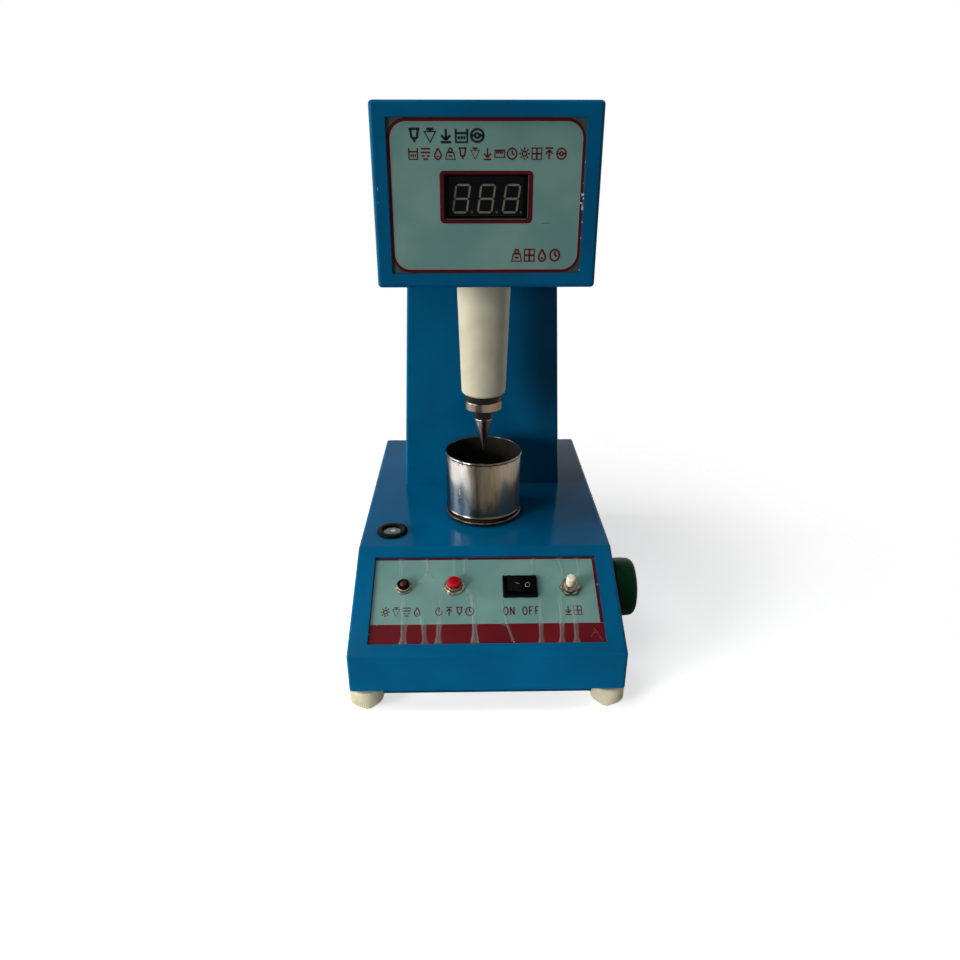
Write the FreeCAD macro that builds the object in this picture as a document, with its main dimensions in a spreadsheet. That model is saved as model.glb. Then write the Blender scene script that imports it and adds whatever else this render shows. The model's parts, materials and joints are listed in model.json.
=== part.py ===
"""Soil liquid limit device: a digital cone penetrometer, as separate pieces.

Frame: X to the right, Y to the back, Z up, in millimetres.  The origin lies on the
bench, straight below the tip of the cone, so Z = 0 is where the levelling feet stand.
"""
import FreeCAD, Part
import math
import os
import Sketcher

DIMENSIONS = {
    # sheet metal and general clearances
    "sheet": 1.5,                # wall of every folded steel shell
    "bend": 2.0,                 # outside radius of a fold
    "running": 0.05,             # radial clearance of a turning or sliding fit
    "hole_gap": 0.3,             # radial clearance of a screw or barrel in its hole
    "part_gap": 0.4,             # gap between a moving piece and what it stops at
    # base
    "base_width": 160.0,
    "base_depth": 252.6,
    "front_height": 24.4,        # upright front face below the control slope
    "slope_run": 69.5,
    "slope_rise": 31.2,
    "front_reach": 118.0,        # cone axis to the front face
    "lip_width": 17.0,           # inward flange that takes the bottom plate
    "plate_sheet": 2.0,
    "plate_inset": 0.4,
    "plate_screw_inset": 30.0,
    # levelling feet
    "foot_height": 15.6,
    "foot_gap": 2.3,             # top of a foot to the base's flange
    "foot_room": 0.6,            # rim of a foot to the cut-out corner of the plate
    "foot_radius": 10.4,
    "foot_pad_radius": 4.7,
    "foot_shoulder": 9.5,
    "foot_grip": 5.6,
    "foot_chamfer": 0.8,
    "foot_inset_x": 8.6,
    "foot_inset_y": 9.6,
    "stud_radius": 4.0,
    "stud_depth": 8.0,
    "stud_length": 30.0,
    "weld_nut_radius": 6.2,
    "weld_nut_height": 6.5,
    # control slope
    "panel_inset_left": 11.3,    # side of the base to the opening
    "panel_inset_right": 11.5,
    "panel_low": 7.7,
    "panel_high": 68.1,
    "panel_margin": 3.0,
    "panel_sheet": 1.5,
    # indicator
    "lamp_x": -49.9,
    "lamp_s": 46.8,
    "lamp_flange_radius": 5.2,
    "lamp_flange": 1.2,
    "flange_chamfer": 0.5,
    "lamp_barrel_radius": 3.9,
    "lamp_barrel": 12.0,
    "lamp_collar": 4.2,
    "lamp_dome_radius": 2.4,
    "lamp_dome_base": 1.2,
    # push buttons
    "reset_x": -19.4,
    "reset_s": 47.2,
    "reset_flange_radius": 6.6,
    "reset_flange": 1.4,
    "reset_collar_radius": 5.3,
    "reset_collar": 3.2,
    "reset_cap_radius": 4.1,
    "reset_cap_top": 6.0,
    "measure_x": 50.8,
    "measure_s": 45.1,
    "measure_nut_flats": 12.0,
    "measure_nut": 2.6,
    "measure_bush_radius": 4.3,
    "measure_bush": 6.2,
    "measure_cap_radius": 2.8,
    "measure_cap_top": 12.0,
    "button_travel": 2.5,
    "spring_room": 4.5,          # under a cap that is pressed right in
    "button_depth": 15.0,
    "case_floor": 2.0,
    "ring_nut": 2.5,
    "ring_nut_rim": 2.6,
    # rocker switch
    "rocker_x": 20.6,
    "rocker_s": 46.2,
    "rocker_width": 21.0,
    "rocker_depth": 15.0,
    "rocker_bezel": 2.0,
    "rocker_body_width": 19.0,
    "rocker_body_depth": 12.8,
    "rocker_body_height": 13.5,
    "rocker_rim": 1.9,
    "rocker_pivot_drop": 1.6,
    "rocker_tilt": 9.0,
    "rocker_crown": 2.6,
    "rocker_skirt": 3.4,
    "rocker_pin_radius": 1.2,
    "rocker_pin_reach": 0.4,     # how far the pin enters the case on each side
    "terminal_length": 6.5,
    "terminal_width": 4.8,
    "terminal_sheet": 0.8,
    # bullseye level
    "level_inset": 19.6,         # left side of the base to the level's centre
    "level_y": -28.8,
    "level_flange_radius": 10.0,
    "level_flange": 1.8,
    "level_barrel_radius": 8.0,
    "level_depth": 9.0,
    "level_vial_radius": 5.7,
    "level_vial_depth": 6.5,
    # column
    "column_width": 114.3,
    "column_top_width": 98.6,
    "column_front": 43.9,
    "column_depth": 72.0,
    "column_height": 162.6,
    "cable_hole": 14.0,
    "column_screw_x": 36.0,
    "column_screw_y": 12.0,
    # head
    "head_width": 113.0,
    "head_height": 87.2,
    "head_front": 61.4,          # cone axis to the front face
    "head_post": 9.0,
    "head_post_length": 12.0,
    "label_inset_left": 7.8,     # side of the head to the opening
    "label_inset_right": 8.0,
    "label_inset_low": 7.3,
    "label_inset_high": 7.3,
    "label_margin": 3.0,
    "label_sheet": 2.0,
    "window_left": 21.4,
    "window_right": 20.7,
    "window_low": 33.7,
    "window_high": 54.6,
    "display_width": 37.7,
    "display_height": 19.0,
    "display_depth": 8.0,
    "display_setback": 6.0,
    "board_width": 62.0,
    "board_height": 40.0,
    "board_sheet": 1.6,
    "spacer_radius": 2.6,
    "spacer_inset": 4.0,
    # plunger: cone, collar, ring weight, insulating disc, rod
    "cone_tip": 45.4,            # all plunger heights are above the base top
    "cone_length": 23.4,
    "cone_half_angle": 15.0,
    "collar_length": 6.6,
    "ring_radius": 12.25,
    "ring_length": 6.1,
    "turned_chamfer": 0.5,       # on the edges of the turned weights
    "disc_radius": 11.9,
    "disc_length": 3.4,
    "rod_radius": 4.0,
    "armature_radius": 11.0,
    "armature_length": 4.0,
    "fall": 22.0,
    # guide tube
    "tube_radius": 14.1,
    "tube_top_radius": 16.6,
    "tube_floor": 3.0,
    "tube_edge": 2.2,
    "tube_bore": 7.0,
    "bush_length": 10.0,
    "upper_bush": 64.0,
    # electromagnet and its bridge
    "magnet_radius": 15.0,
    "magnet_length": 22.0,
    "magnet_wall": 3.0,
    "magnet_core_radius": 6.0,
    "magnet_gap": 0.2,
    "bridge_reach": 24.0,
    "bridge_width": 22.0,
    "bridge_sheet": 2.5,
    "bridge_foot": 9.0,
    # displacement sensor
    "sensor_front": 15.0,
    "sensor_depth": 11.0,
    "sensor_width": 14.0,
    "sensor_height": 50.0,
    "sensor_slot": 4.0,
    "sensor_slot_depth": 6.0,
    "sensor_foot": 2.5,
    "arm_width": 2.4,
    "arm_height": 5.0,
    "arm_clamp_radius": 7.0,
    "arm_drop": 6.0,
    # specimen stage and cup
    "stage_gap": 0.8,
    "stage_radius": 25.8,
    "stage_length": 2.8,
    "stage_recess": 0.6,
    "stage_recess_gap": 0.5,
    "cup_foot_radius": 23.5,
    "cup_foot": 3.1,
    "cup_radius": 25.1,
    "cup_wall": 0.9,
    "cup_height": 43.1,
    "cup_rim_radius": 25.6,
    "cup_rim": 1.3,
    "cup_bead_radius": 25.5,
    "cup_bead": 1.5,
    "cup_floor": 1.5,
    # lift
    "post_radius": 8.0,
    "post_sleeve_wall": 3.0,
    "post_sleeve_length": 22.0,
    "post_flange_radius": 17.0,
    "post_flange": 3.0,
    "lift_arm_width": 10.0,
    "lift_arm_height": 8.0,
    "lift_arm_clear": 7.5,
    "module_size": 1.0,
    "pinion_teeth": 12.0,
    "rack_teeth": 5.0,
    "rack_back": 5.0,
    "tooth_addendum": 0.75,
    "tooth_dedendum": 1.15,
    "tooth_play": 0.14,
    "tooth_tip_share": 0.45,
    "pinion_width": 8.0,
    "shaft_radius": 4.0,
    "knob_forward": 54.0,        # cone axis to the knob shaft
    "knob_height": 27.8,         # above the lower edge of the base shell
    "bracket_reach": 8.0,
    "bracket_sheet": 2.5,
    "bracket_depth": 22.0,
    "bracket_crown": 9.0,
    "shaft_bush_radius": 6.5,
    "shaft_bush_flange_radius": 9.5,
    "shaft_bush_flange": 3.0,
    "knob_radius": 18.6,
    "knob_length": 14.0,
    "knob_gap": 1.0,
    "knob_edge": 4.5,
    "knob_back_edge": 1.2,
    "knob_wall": 3.0,
    "knob_dish_radius": 11.0,
    "knob_dish": 1.0,
    # electrical parts in the base
    "inlet_x": -42.0,
    "inlet_z": 26.0,
    "inlet_width": 28.0,
    "inlet_height": 20.5,
    "inlet_flange_width": 50.0,
    "inlet_flange_height": 24.0,
    "inlet_flange": 2.0,
    "inlet_depth": 22.0,
    "inlet_wall": 2.6,
    "inlet_pin_pitch": 7.0,
    "inlet_pin_rise": 2.0,
    "inlet_pin_width": 2.0,
    "inlet_pin_height": 4.0,
    "inlet_pin_length": 11.6,
    "inlet_screw_pitch": 40.0,
    "fuse_x": 2.0,
    "fuse_radius": 6.0,
    "fuse_cap_radius": 8.5,
    "fuse_cap": 6.0,
    "fuse_chamfer": 1.2,
    "fuse_depth": 26.0,
    "transformer_gap": 4.5,      # core to the flange on its right
    "transformer_y": 70.0,
    "core_width": 48.0,
    "core_height": 40.0,
    "core_depth": 20.0,
    "core_limb": 8.0,
    "coil_overhang": 7.0,
    "main_board_lip_gap": 2.5,   # board to the flange on its left
    "main_board_gap": 14.0,      # board to the transformer
    "main_board_y": 50.0,
    "main_board_depth": 80.0,
    "main_board_lift": 8.0,
    # screws
    "screw_radius": 1.5,
    "screw_head_radius": 2.8,
    "screw_head": 1.7,
    "screw_length": 7.0,
    "cover_inset": 6.0,
}


class Size:
    """A size with its two faces: the number, and the spreadsheet formula behind it."""

    def __init__(self, value, formula):
        self.value = value
        self.formula = formula

    def __add__(self, other):
        other = as_size(other)
        return Size(self.value + other.value, f"({self.formula} + {other.formula})")

    def __sub__(self, other):
        other = as_size(other)
        return Size(self.value - other.value, f"({self.formula} - {other.formula})")

    def __mul__(self, other):
        other = as_size(other)
        return Size(self.value * other.value, f"({self.formula} * {other.formula})")

    def __truediv__(self, other):
        other = as_size(other)
        return Size(self.value / other.value, f"({self.formula} / {other.formula})")

    def __radd__(self, other):
        return as_size(other) + self

    def __rsub__(self, other):
        return as_size(other) - self

    def __rmul__(self, other):
        return as_size(other) * self

    def __neg__(self):
        return Size(-self.value, f"(-1 * {self.formula})")


def as_size(term):
    """A plain number used in a formula, such as the 2 that halves a width."""
    return term if isinstance(term, Size) else Size(float(term), f"({term})")


def root(size):
    return Size(math.sqrt(size.value), f"sqrt({size.formula})")


def sine(angle):
    return Size(math.sin(math.radians(angle.value)), f"sin({angle.formula})")


def cosine(angle):
    return Size(math.cos(math.radians(angle.value)), f"cos({angle.formula})")


def tangent(angle):
    return Size(math.tan(math.radians(angle.value)), f"tan({angle.formula})")


def angle_of(rise, run):
    ratio = rise / run
    return Size(math.degrees(math.atan(ratio.value)), f"atan({ratio.formula})")


class Sheet:
    """The spreadsheet of driving dimensions, read by alias as S.name."""

    def __init__(self, document, dimensions):
        cells = document.addObject("Spreadsheet::Sheet", "sizes")
        for row, (alias, number) in enumerate(dimensions.items(), start=1):
            cells.set(f"A{row}", alias)
            cells.set(f"B{row}", str(number))
            cells.setAlias(f"B{row}", alias)
        self.cells = cells

    def __getattr__(self, alias):
        return Size(float(self.cells.get(alias)), f"sizes.{alias}")


doc = FreeCAD.newDocument("liquid_limit_device")
S = Sheet(doc, DIMENSIONS)
doc.recompute()

ZERO = as_size(0)
X_AXIS = FreeCAD.Vector(1, 0, 0)
Y_AXIS = FreeCAD.Vector(0, 1, 0)
LEFT_RIGHT = (-1, 1)
QUARTER_TURN = Size(90, "90 deg")
FULL_TURN = 360
TUBE_SCREW_ANGLES = (30, 150, 270)
THROUGH = 3                      # a cut's length in wall thicknesses, to clear both faces
CLOSE = 1e-3                     # two places this near are the same place
PARTS = {}

# Places that several pieces share.
UNDERSIDE = S.foot_height + S.foot_gap
BASE_TOP = UNDERSIDE + S.front_height + S.slope_rise
FRONT = -S.front_reach
BACK = FRONT + S.base_depth
SLOPE_LENGTH = root(S.slope_run * S.slope_run + S.slope_rise * S.slope_rise)
SLOPE_COS = S.slope_run / SLOPE_LENGTH
SLOPE_SIN = S.slope_rise / SLOPE_LENGTH
SLOPE_ANGLE = angle_of(S.slope_rise, S.slope_run)
CREASE = UNDERSIDE + S.front_height
HEAD_BOTTOM = BASE_TOP + S.column_height
HEAD_FLOOR = HEAD_BOTTOM + S.sheet
HEAD_TOP = HEAD_BOTTOM + S.head_height
HEAD_FRONT = -S.head_front
COLUMN_BACK = S.column_front + S.column_depth
TUBE_BOTTOM = (BASE_TOP + S.cone_tip + S.cone_length + S.collar_length + S.ring_length
               + S.disc_length + S.part_gap)
SHAFT_Y = -S.knob_forward
SHAFT_Z = UNDERSIDE + S.knob_height
ARM_BOTTOM = HEAD_FLOOR + S.sensor_foot + S.part_gap * 2 + S.fall
ROD_HEAD = ARM_BOTTOM + S.arm_height + S.arm_drop
STAGE_BOTTOM = BASE_TOP + S.stage_gap
STAGE_TOP = STAGE_BOTTOM + S.stage_length
CUP_BOTTOM = STAGE_TOP - S.stage_recess
PANEL_LEFT = S.base_width / 2 - S.panel_inset_left
PANEL_RIGHT = S.base_width / 2 - S.panel_inset_right
LABEL_LEFT = S.head_width / 2 - S.label_inset_left
LABEL_RIGHT = S.head_width / 2 - S.label_inset_right
LABEL_LOW = HEAD_BOTTOM + S.label_inset_low
LABEL_HIGH = HEAD_TOP - S.label_inset_high
LEVEL_X = S.level_inset - S.base_width / 2
BAY = S.base_width / 2 - S.sheet - S.lip_width      # half the room between the flanges
TRANSFORMER_X = BAY - S.transformer_gap - S.core_width / 2
MAIN_BOARD_LEFT = S.main_board_lip_gap - BAY
MAIN_BOARD_RIGHT = TRANSFORMER_X - S.core_width / 2 - S.main_board_gap
BUTTON_STEM = S.button_depth - S.case_floor - S.button_travel - S.spring_room


# ---------------------------------------------------------------- building blocks
def bind(item, name, size):
    """Tie one property of an object to the sheet."""
    item.setExpression(name, as_size(size).formula)


def place(item, x=ZERO, y=ZERO, z=ZERO, axis=None, angle=ZERO):
    """Set an object's placement, tied to the sheet, turned about one axis."""
    if axis is not None:
        rotation = FreeCAD.Rotation(axis, as_size(angle).value)
        item.Placement = FreeCAD.Placement(FreeCAD.Vector(), rotation)
        bind(item, "Placement.Rotation.Angle", angle)
    bind(item, "Placement.Base.x", x)
    bind(item, "Placement.Base.y", y)
    bind(item, "Placement.Base.z", z)
    return item


def on_slope(item, x, along, above, angle=SLOPE_ANGLE):
    """Stand an object on the control slope: local Z is the slope's outward normal."""
    y = FRONT + along * SLOPE_COS - above * SLOPE_SIN
    z = CREASE + along * SLOPE_SIN + above * SLOPE_COS
    return place(item, x, y, z, X_AXIS, angle)


def box(name, low, size):
    """An upright box from its lowest corner."""
    item = doc.addObject("Part::Box", name)
    bind(item, "Length", size[0])
    bind(item, "Width", size[1])
    bind(item, "Height", size[2])
    return place(item, *low)


def centred_box(name, centre_x, centre_y, bottom, size):
    low = (centre_x - as_size(size[0]) / 2, centre_y - as_size(size[1]) / 2, bottom)
    return box(name, low, size)


def slope_box(name, x, along, above, size):
    """A box on the slope from its lowest corner in the slope's own directions."""
    item = box(name, (ZERO, ZERO, ZERO), size)
    return on_slope(item, x, along, above)


def cylinder(name, radius, length, x=ZERO, y=ZERO, z=ZERO):
    item = doc.addObject("Part::Cylinder", name)
    bind(item, "Radius", radius)
    bind(item, "Height", length)
    return place(item, x, y, z)


def slope_cylinder(name, radius, length, x, along, above):
    item = cylinder(name, radius, length)
    return on_slope(item, x, along, above)


def cross_cylinder(name, radius, length, x, y, z):
    """A cylinder that runs along +X from its start."""
    item = cylinder(name, radius, length)
    return place(item, x, y, z, Y_AXIS, QUARTER_TURN)


def back_cylinder(name, radius, length, x, y, z):
    """A cylinder that runs along +Y from its start."""
    item = cylinder(name, radius, length)
    return place(item, x, y, z, X_AXIS, -QUARTER_TURN)


def joined(name, pieces):
    item = doc.addObject("Part::MultiFuse", name)
    item.Shapes = pieces
    return item


def cut(name, solid, tools):
    """A solid less its holes."""
    item = doc.addObject("Part::Cut", name)
    item.Base = solid
    item.Tool = tools[0] if len(tools) == 1 else joined(f"{name}_tools", tools)
    return item


def group(name, pieces):
    """Identical pieces that share one node, each a solid of its own."""
    item = doc.addObject("Part::Compound", name)
    item.Links = pieces
    return item


def part(name, item):
    """Name an object as one of the device's pieces."""
    item.Label = name
    PARTS[name] = item
    return item


def origin_plane(body, role):
    return next(plane for plane in body.Origin.OriginFeatures if plane.Role == role)


def outline(body, name, plane, points):
    """A closed outline whose every corner is tied to the sheet."""
    sketch = body.newObject("Sketcher::SketchObject", name)
    sketch.AttachmentSupport = [(origin_plane(body, plane), "")]
    sketch.MapMode = "FlatFace"
    corners = [(as_size(across), as_size(up)) for across, up in points]
    places = [FreeCAD.Vector(across.value, up.value, 0) for across, up in corners]
    for index, start in enumerate(places):
        following = places[(index + 1) % len(places)]
        sketch.addGeometry(Part.LineSegment(start, following), False)
    for index in range(len(places)):
        following = (index + 1) % len(places)
        sketch.addConstraint(Sketcher.Constraint("Coincident", index, 2, following, 1))
    for index, corner in enumerate(corners):
        for kind, axis, size in zip(("DistanceX", "DistanceY"), (-2, -1), corner):
            pin_corner(sketch, index, kind, axis, size)
    return sketch


def pin_corner(sketch, index, kind, axis, size):
    """Tie one coordinate of an outline's corner, or hold it on the sketch's axis."""
    if size.formula == ZERO.formula:
        sketch.addConstraint(Sketcher.Constraint("PointOnObject", index, 1, axis))
        return
    constraint = Sketcher.Constraint(kind, -1, 1, index, 1, size.value)
    number = sketch.addConstraint(constraint)
    sketch.setExpression(f"Constraints[{number}]", size.formula)


def pad(body, sketch, length, centred=False):
    feature = body.newObject("PartDesign::Pad", f"{sketch.Name}_pad")
    feature.Profile = sketch
    feature.Midplane = centred
    bind(feature, "Length", length)
    return feature


def extruded(name, plane, points, length, centred=False):
    """A body padded from one outline."""
    body = doc.addObject("PartDesign::Body", name)
    sketch = outline(body, f"{name}_outline", plane, points)
    pad(body, sketch, length, centred)
    doc.recompute()
    return body


def turned(name, points, x=ZERO, y=ZERO, z=ZERO):
    """A body of revolution about its own Z: points are (radius, height)."""
    body = doc.addObject("PartDesign::Body", name)
    sketch = outline(body, f"{name}_outline", "XZ_Plane", points)
    feature = body.newObject("PartDesign::Revolution", f"{name}_turn")
    feature.Profile = sketch
    feature.ReferenceAxis = (sketch, ["V_Axis"])
    feature.Angle = FULL_TURN
    doc.recompute()
    return place(body, x, y, z)


def fillet(body, radius, chosen):
    """Round the edges of a body's last feature that a test picks out."""
    base = body.Tip
    edges = base.Shape.Edges
    names = [f"Edge{number}" for number, edge in enumerate(edges, start=1) if chosen(edge)]
    feature = body.newObject("PartDesign::Fillet", f"{base.Name}_fillet")
    feature.Base = (base, names)
    bind(feature, "Radius", radius)
    doc.recompute()
    return body


def runs_along(edge, axis):
    """Whether an edge is a straight line along an axis."""
    if not isinstance(edge.Curve, Part.Line):
        return False
    return edge.Curve.Direction.cross(axis).Length < CLOSE


def round_sheet(name, plane, low, size, thick, axis):
    """A flat sheet square to an axis, whose corners are rounded like the bends."""
    high = (low[0] + size[0], low[1] + size[1])
    points = [low, (high[0], low[1]), high, (low[0], high[1])]
    sheet = extruded(name, plane, points, thick)
    return fillet(sheet, S.bend, lambda edge: runs_along(edge, axis))


def ring_at(edge, radius, height):
    """Whether an edge is a full circle of this radius at this height."""
    if not isinstance(edge.Curve, Part.Circle):
        return False
    centre = edge.Curve.Center
    return (abs(edge.Curve.Radius - radius.value) < CLOSE
            and abs(centre.z - height.value) < CLOSE)


def pan_screw(name, x, y, z, upward=True):
    """A screw along Z whose head seats at z and whose shank runs into the work."""
    head = cylinder(f"{name}_head", S.screw_head_radius, S.screw_head)
    shank = cylinder(f"{name}_shank", S.screw_radius, S.screw_length)
    place(shank, z=ZERO if upward else -S.screw_length)
    place(head, z=-S.screw_head if upward else ZERO)
    return place(joined(name, [head, shank]), x, y, z)


# ------------------------------------------------------------------------- base
def foot_places():
    """The four (x, y) places of the levelling feet, front ones first."""
    reach_x = S.base_width / 2 - S.foot_inset_x
    rows = (FRONT + S.foot_inset_y, BACK - S.foot_inset_y)
    return [(side * reach_x, y) for y in rows for side in LEFT_RIGHT]


def plate_screw_places():
    reach_x = S.base_width / 2 - S.sheet - S.lip_width / 2
    rows = (FRONT + S.plate_screw_inset, BACK - S.plate_screw_inset)
    return [(side * reach_x, y) for y in rows for side in LEFT_RIGHT]


def column_screw_places():
    rows = (S.column_front + S.column_screw_y, COLUMN_BACK - S.column_screw_y)
    return [(side * S.column_screw_x, y) for y in rows for side in LEFT_RIGHT]


def base_profile(inset):
    """Side outline of the base, or the same drawn in by the sheet's thickness."""
    drop = inset * SLOPE_LENGTH / S.slope_run
    low = UNDERSIDE if inset is ZERO else UNDERSIDE - S.sheet
    top = BASE_TOP - inset
    crease = CREASE - drop + inset * S.slope_rise / S.slope_run
    shift = inset * (SLOPE_LENGTH - S.slope_run) / S.slope_rise
    return [(FRONT + inset, low), (BACK - inset, low), (BACK - inset, top),
            (FRONT + S.slope_run + shift, top), (FRONT + inset, crease)]


def base_shell_part():
    shell = extruded("base_outer", "YZ_Plane", base_profile(ZERO), S.base_width, True)
    lowest = UNDERSIDE.value + CLOSE
    fillet(shell, S.bend, lambda edge: edge.BoundBox.ZMax > lowest)
    hollow = extruded("base_hollow", "YZ_Plane", base_profile(S.sheet),
                      S.base_width - S.sheet * 2, True)
    walls = cut("base_walls", shell, [hollow])
    lips = [base_lip(side) for side in LEFT_RIGHT]
    blank = joined("base_blank", [walls] + lips)
    return part("base_shell", cut("base_shell", blank, base_openings()))


def base_lip(side):
    """The flange along one side that the bottom plate screws to."""
    outer = S.base_width / 2 - S.sheet / 2
    width = S.lip_width + S.sheet / 2
    low_x = outer - width if side > 0 else -outer
    low = (low_x, FRONT + S.sheet / 2, UNDERSIDE)
    name = "base_lip_right" if side > 0 else "base_lip_left"
    return box(name, low, (width, S.base_depth - S.sheet, S.sheet))


def base_openings():
    """Everything that is cut through the base shell."""
    through = S.sheet * THROUGH
    below_top = BASE_TOP - S.sheet * 2
    tools = [slope_box("panel_opening", -PANEL_LEFT, S.panel_low, -S.sheet * 2,
                       (PANEL_LEFT + PANEL_RIGHT, S.panel_high - S.panel_low, through))]
    tools.append(cylinder("level_hole", S.level_barrel_radius + S.hole_gap, through,
                          LEVEL_X, S.level_y, below_top))
    tools.append(cylinder("post_hole", S.post_radius + S.hole_gap, through, z=below_top))
    middle = S.column_front + S.column_depth / 2
    tools.append(cylinder("column_cable_hole", S.cable_hole, through, ZERO, middle, below_top))
    for index, (x, y) in enumerate(column_screw_places()):
        tools.append(cylinder(f"column_foot_hole_{index}", S.screw_radius, through,
                              x, y, below_top))
    for index, (x, y) in enumerate(foot_places()):
        tools.append(cylinder(f"foot_hole_{index}", S.stud_radius + S.hole_gap, through,
                              x, y, UNDERSIDE - S.sheet))
    for index, (x, y) in enumerate(plate_screw_places()):
        tools.append(cylinder(f"plate_hole_{index}", S.screw_radius, through,
                              x, y, UNDERSIDE - S.sheet))
    tools.append(cross_cylinder("shaft_hole", S.shaft_bush_radius, through,
                                S.base_width / 2 - S.sheet * 2, SHAFT_Y, SHAFT_Z))
    tools.append(centred_box("inlet_hole", S.inlet_x, BACK, inlet_floor(),
                             (S.inlet_width, through, S.inlet_height)))
    for side in LEFT_RIGHT:
        tools.append(back_cylinder(f"inlet_screw_hole_{side + 1}", S.screw_radius, through,
                                   S.inlet_x + side * S.inlet_screw_pitch / 2,
                                   BACK - S.sheet * 2, UNDERSIDE + S.inlet_z))
    tools.append(back_cylinder("fuse_hole", S.fuse_radius, through,
                               S.fuse_x, BACK - S.sheet * 2, UNDERSIDE + S.inlet_z))
    return tools


def bottom_plate_part():
    """Flat plate under the flanges, its corners cut away to leave room for the feet."""
    width = S.base_width - S.plate_inset * 2
    depth = S.base_depth - S.plate_inset * 2
    blank = box("plate_blank", (-width / 2, FRONT + S.plate_inset, UNDERSIDE - S.plate_sheet),
                (width, depth, S.plate_sheet))
    low = UNDERSIDE - S.plate_sheet * 2
    through = S.plate_sheet * THROUGH
    reach = (S.foot_radius + S.foot_room) * 2
    tools = [centred_box(f"plate_corner_{index}", x, y, low, (reach, reach, through))
             for index, (x, y) in enumerate(foot_places())]
    tools += [cylinder(f"plate_screw_hole_{index}", S.screw_radius, through, x, y, low)
              for index, (x, y) in enumerate(plate_screw_places())]
    return part("bottom_plate", cut("bottom_plate", blank, tools))


def weld_nuts_part():
    """Threaded nuts above the lips that the foot studs turn in."""
    nuts = []
    for index, (x, y) in enumerate(foot_places()):
        blank = cylinder(f"weld_nut_blank_{index}", S.weld_nut_radius, S.weld_nut_height,
                         x, y, UNDERSIDE + S.sheet)
        bore = cylinder(f"weld_nut_bore_{index}", S.stud_radius + S.running,
                        S.weld_nut_height + S.sheet, x, y, UNDERSIDE + S.sheet / 2)
        nuts.append(cut(f"weld_nut_{index}", blank, [bore]))
    return part("weld_nuts", group("weld_nuts", nuts))


def foot_stud_part(name, x, y):
    bottom = S.foot_height - S.stud_depth
    return part(f"foot_stud_{name}", cylinder(f"foot_stud_{name}", S.stud_radius,
                                              S.stud_length, x, y, bottom))


def foot_wheel_part(name, x, y):
    """A nylon foot: tapered pad below, gripped rim above, blind bore for the stud."""
    bore = S.stud_radius + S.running
    depth = S.foot_height - S.stud_depth
    chamfer = S.foot_chamfer
    points = [(ZERO, ZERO), (S.foot_pad_radius, ZERO),
              (S.foot_shoulder, S.foot_grip), (S.foot_radius - chamfer / 2, S.foot_grip),
              (S.foot_radius, S.foot_grip + chamfer), (S.foot_radius, S.foot_height - chamfer),
              (S.foot_radius - chamfer, S.foot_height), (bore, S.foot_height), (bore, depth),
              (ZERO, depth)]
    return part(f"foot_wheel_{name}", turned(f"foot_wheel_{name}", points, x, y))


# --------------------------------------------------------------- control slope
def control_panel_part():
    """Printed plate behind the opening in the slope, bored for the controls."""
    margin = S.panel_margin
    width = PANEL_LEFT + PANEL_RIGHT + margin * 2
    depth = S.panel_high - S.panel_low + margin * 2
    low = -S.sheet - S.panel_sheet
    blank = slope_box("panel_blank", -PANEL_LEFT - margin, S.panel_low - margin, low,
                      (width, depth, S.panel_sheet))
    through = S.panel_sheet * THROUGH
    below = low - S.panel_sheet
    bores = (("lamp", S.lamp_barrel_radius, S.lamp_x, S.lamp_s),
             ("reset", S.reset_collar_radius, S.reset_x, S.reset_s),
             ("measure", S.measure_bush_radius, S.measure_x, S.measure_s))
    tools = [slope_cylinder(f"{name}_bore", radius, through, x, along, below)
             for name, radius, x, along in bores]
    tools.append(slope_box("rocker_bore", S.rocker_x - S.rocker_body_width / 2,
                           S.rocker_s - S.rocker_body_depth / 2, below,
                           (S.rocker_body_width, S.rocker_body_depth, through)))
    return part("control_panel", cut("control_panel", blank, tools))


def panel_face():
    """Height of the panel's face above the slope's outer surface."""
    return -S.sheet


def lamp_parts():
    """Indicator: chrome bezel with a raised collar, red dome, nut behind the panel."""
    inner = S.lamp_dome_radius
    points = [(inner, -S.lamp_barrel), (S.lamp_barrel_radius, -S.lamp_barrel),
              (S.lamp_barrel_radius, ZERO), (S.lamp_flange_radius, ZERO),
              (S.lamp_flange_radius, S.lamp_flange - S.flange_chamfer),
              (S.lamp_flange_radius - S.flange_chamfer, S.lamp_flange),
              (S.lamp_barrel_radius, S.lamp_flange),
              (S.lamp_barrel_radius, S.lamp_collar), (inner, S.lamp_collar)]
    bezel = turned("lamp_bezel", points)
    part("lamp_bezel", on_slope(bezel, S.lamp_x, S.lamp_s, panel_face()))
    stem = cylinder("lamp_stem", inner, S.lamp_barrel + S.lamp_collar - S.lamp_dome_base,
                    z=-S.lamp_barrel)
    dome = doc.addObject("Part::Sphere", "lamp_ball")
    bind(dome, "Radius", inner)
    place(dome, z=S.lamp_collar - S.lamp_dome_base)
    lens = joined("lamp_lens", [stem, dome])
    part("lamp_lens", on_slope(lens, S.lamp_x, S.lamp_s, panel_face()))
    return [panel_nut("lamp_nut", S.lamp_barrel_radius, S.lamp_x, S.lamp_s)]


def panel_nut(name, barrel, x, along):
    """A round nut that holds a barrel from behind the panel."""
    points = [(barrel, ZERO), (barrel + S.ring_nut_rim, ZERO),
              (barrel + S.ring_nut_rim, S.ring_nut), (barrel, S.ring_nut)]
    return on_slope(turned(name, points), x, along, panel_face() - S.panel_sheet - S.ring_nut)


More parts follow.
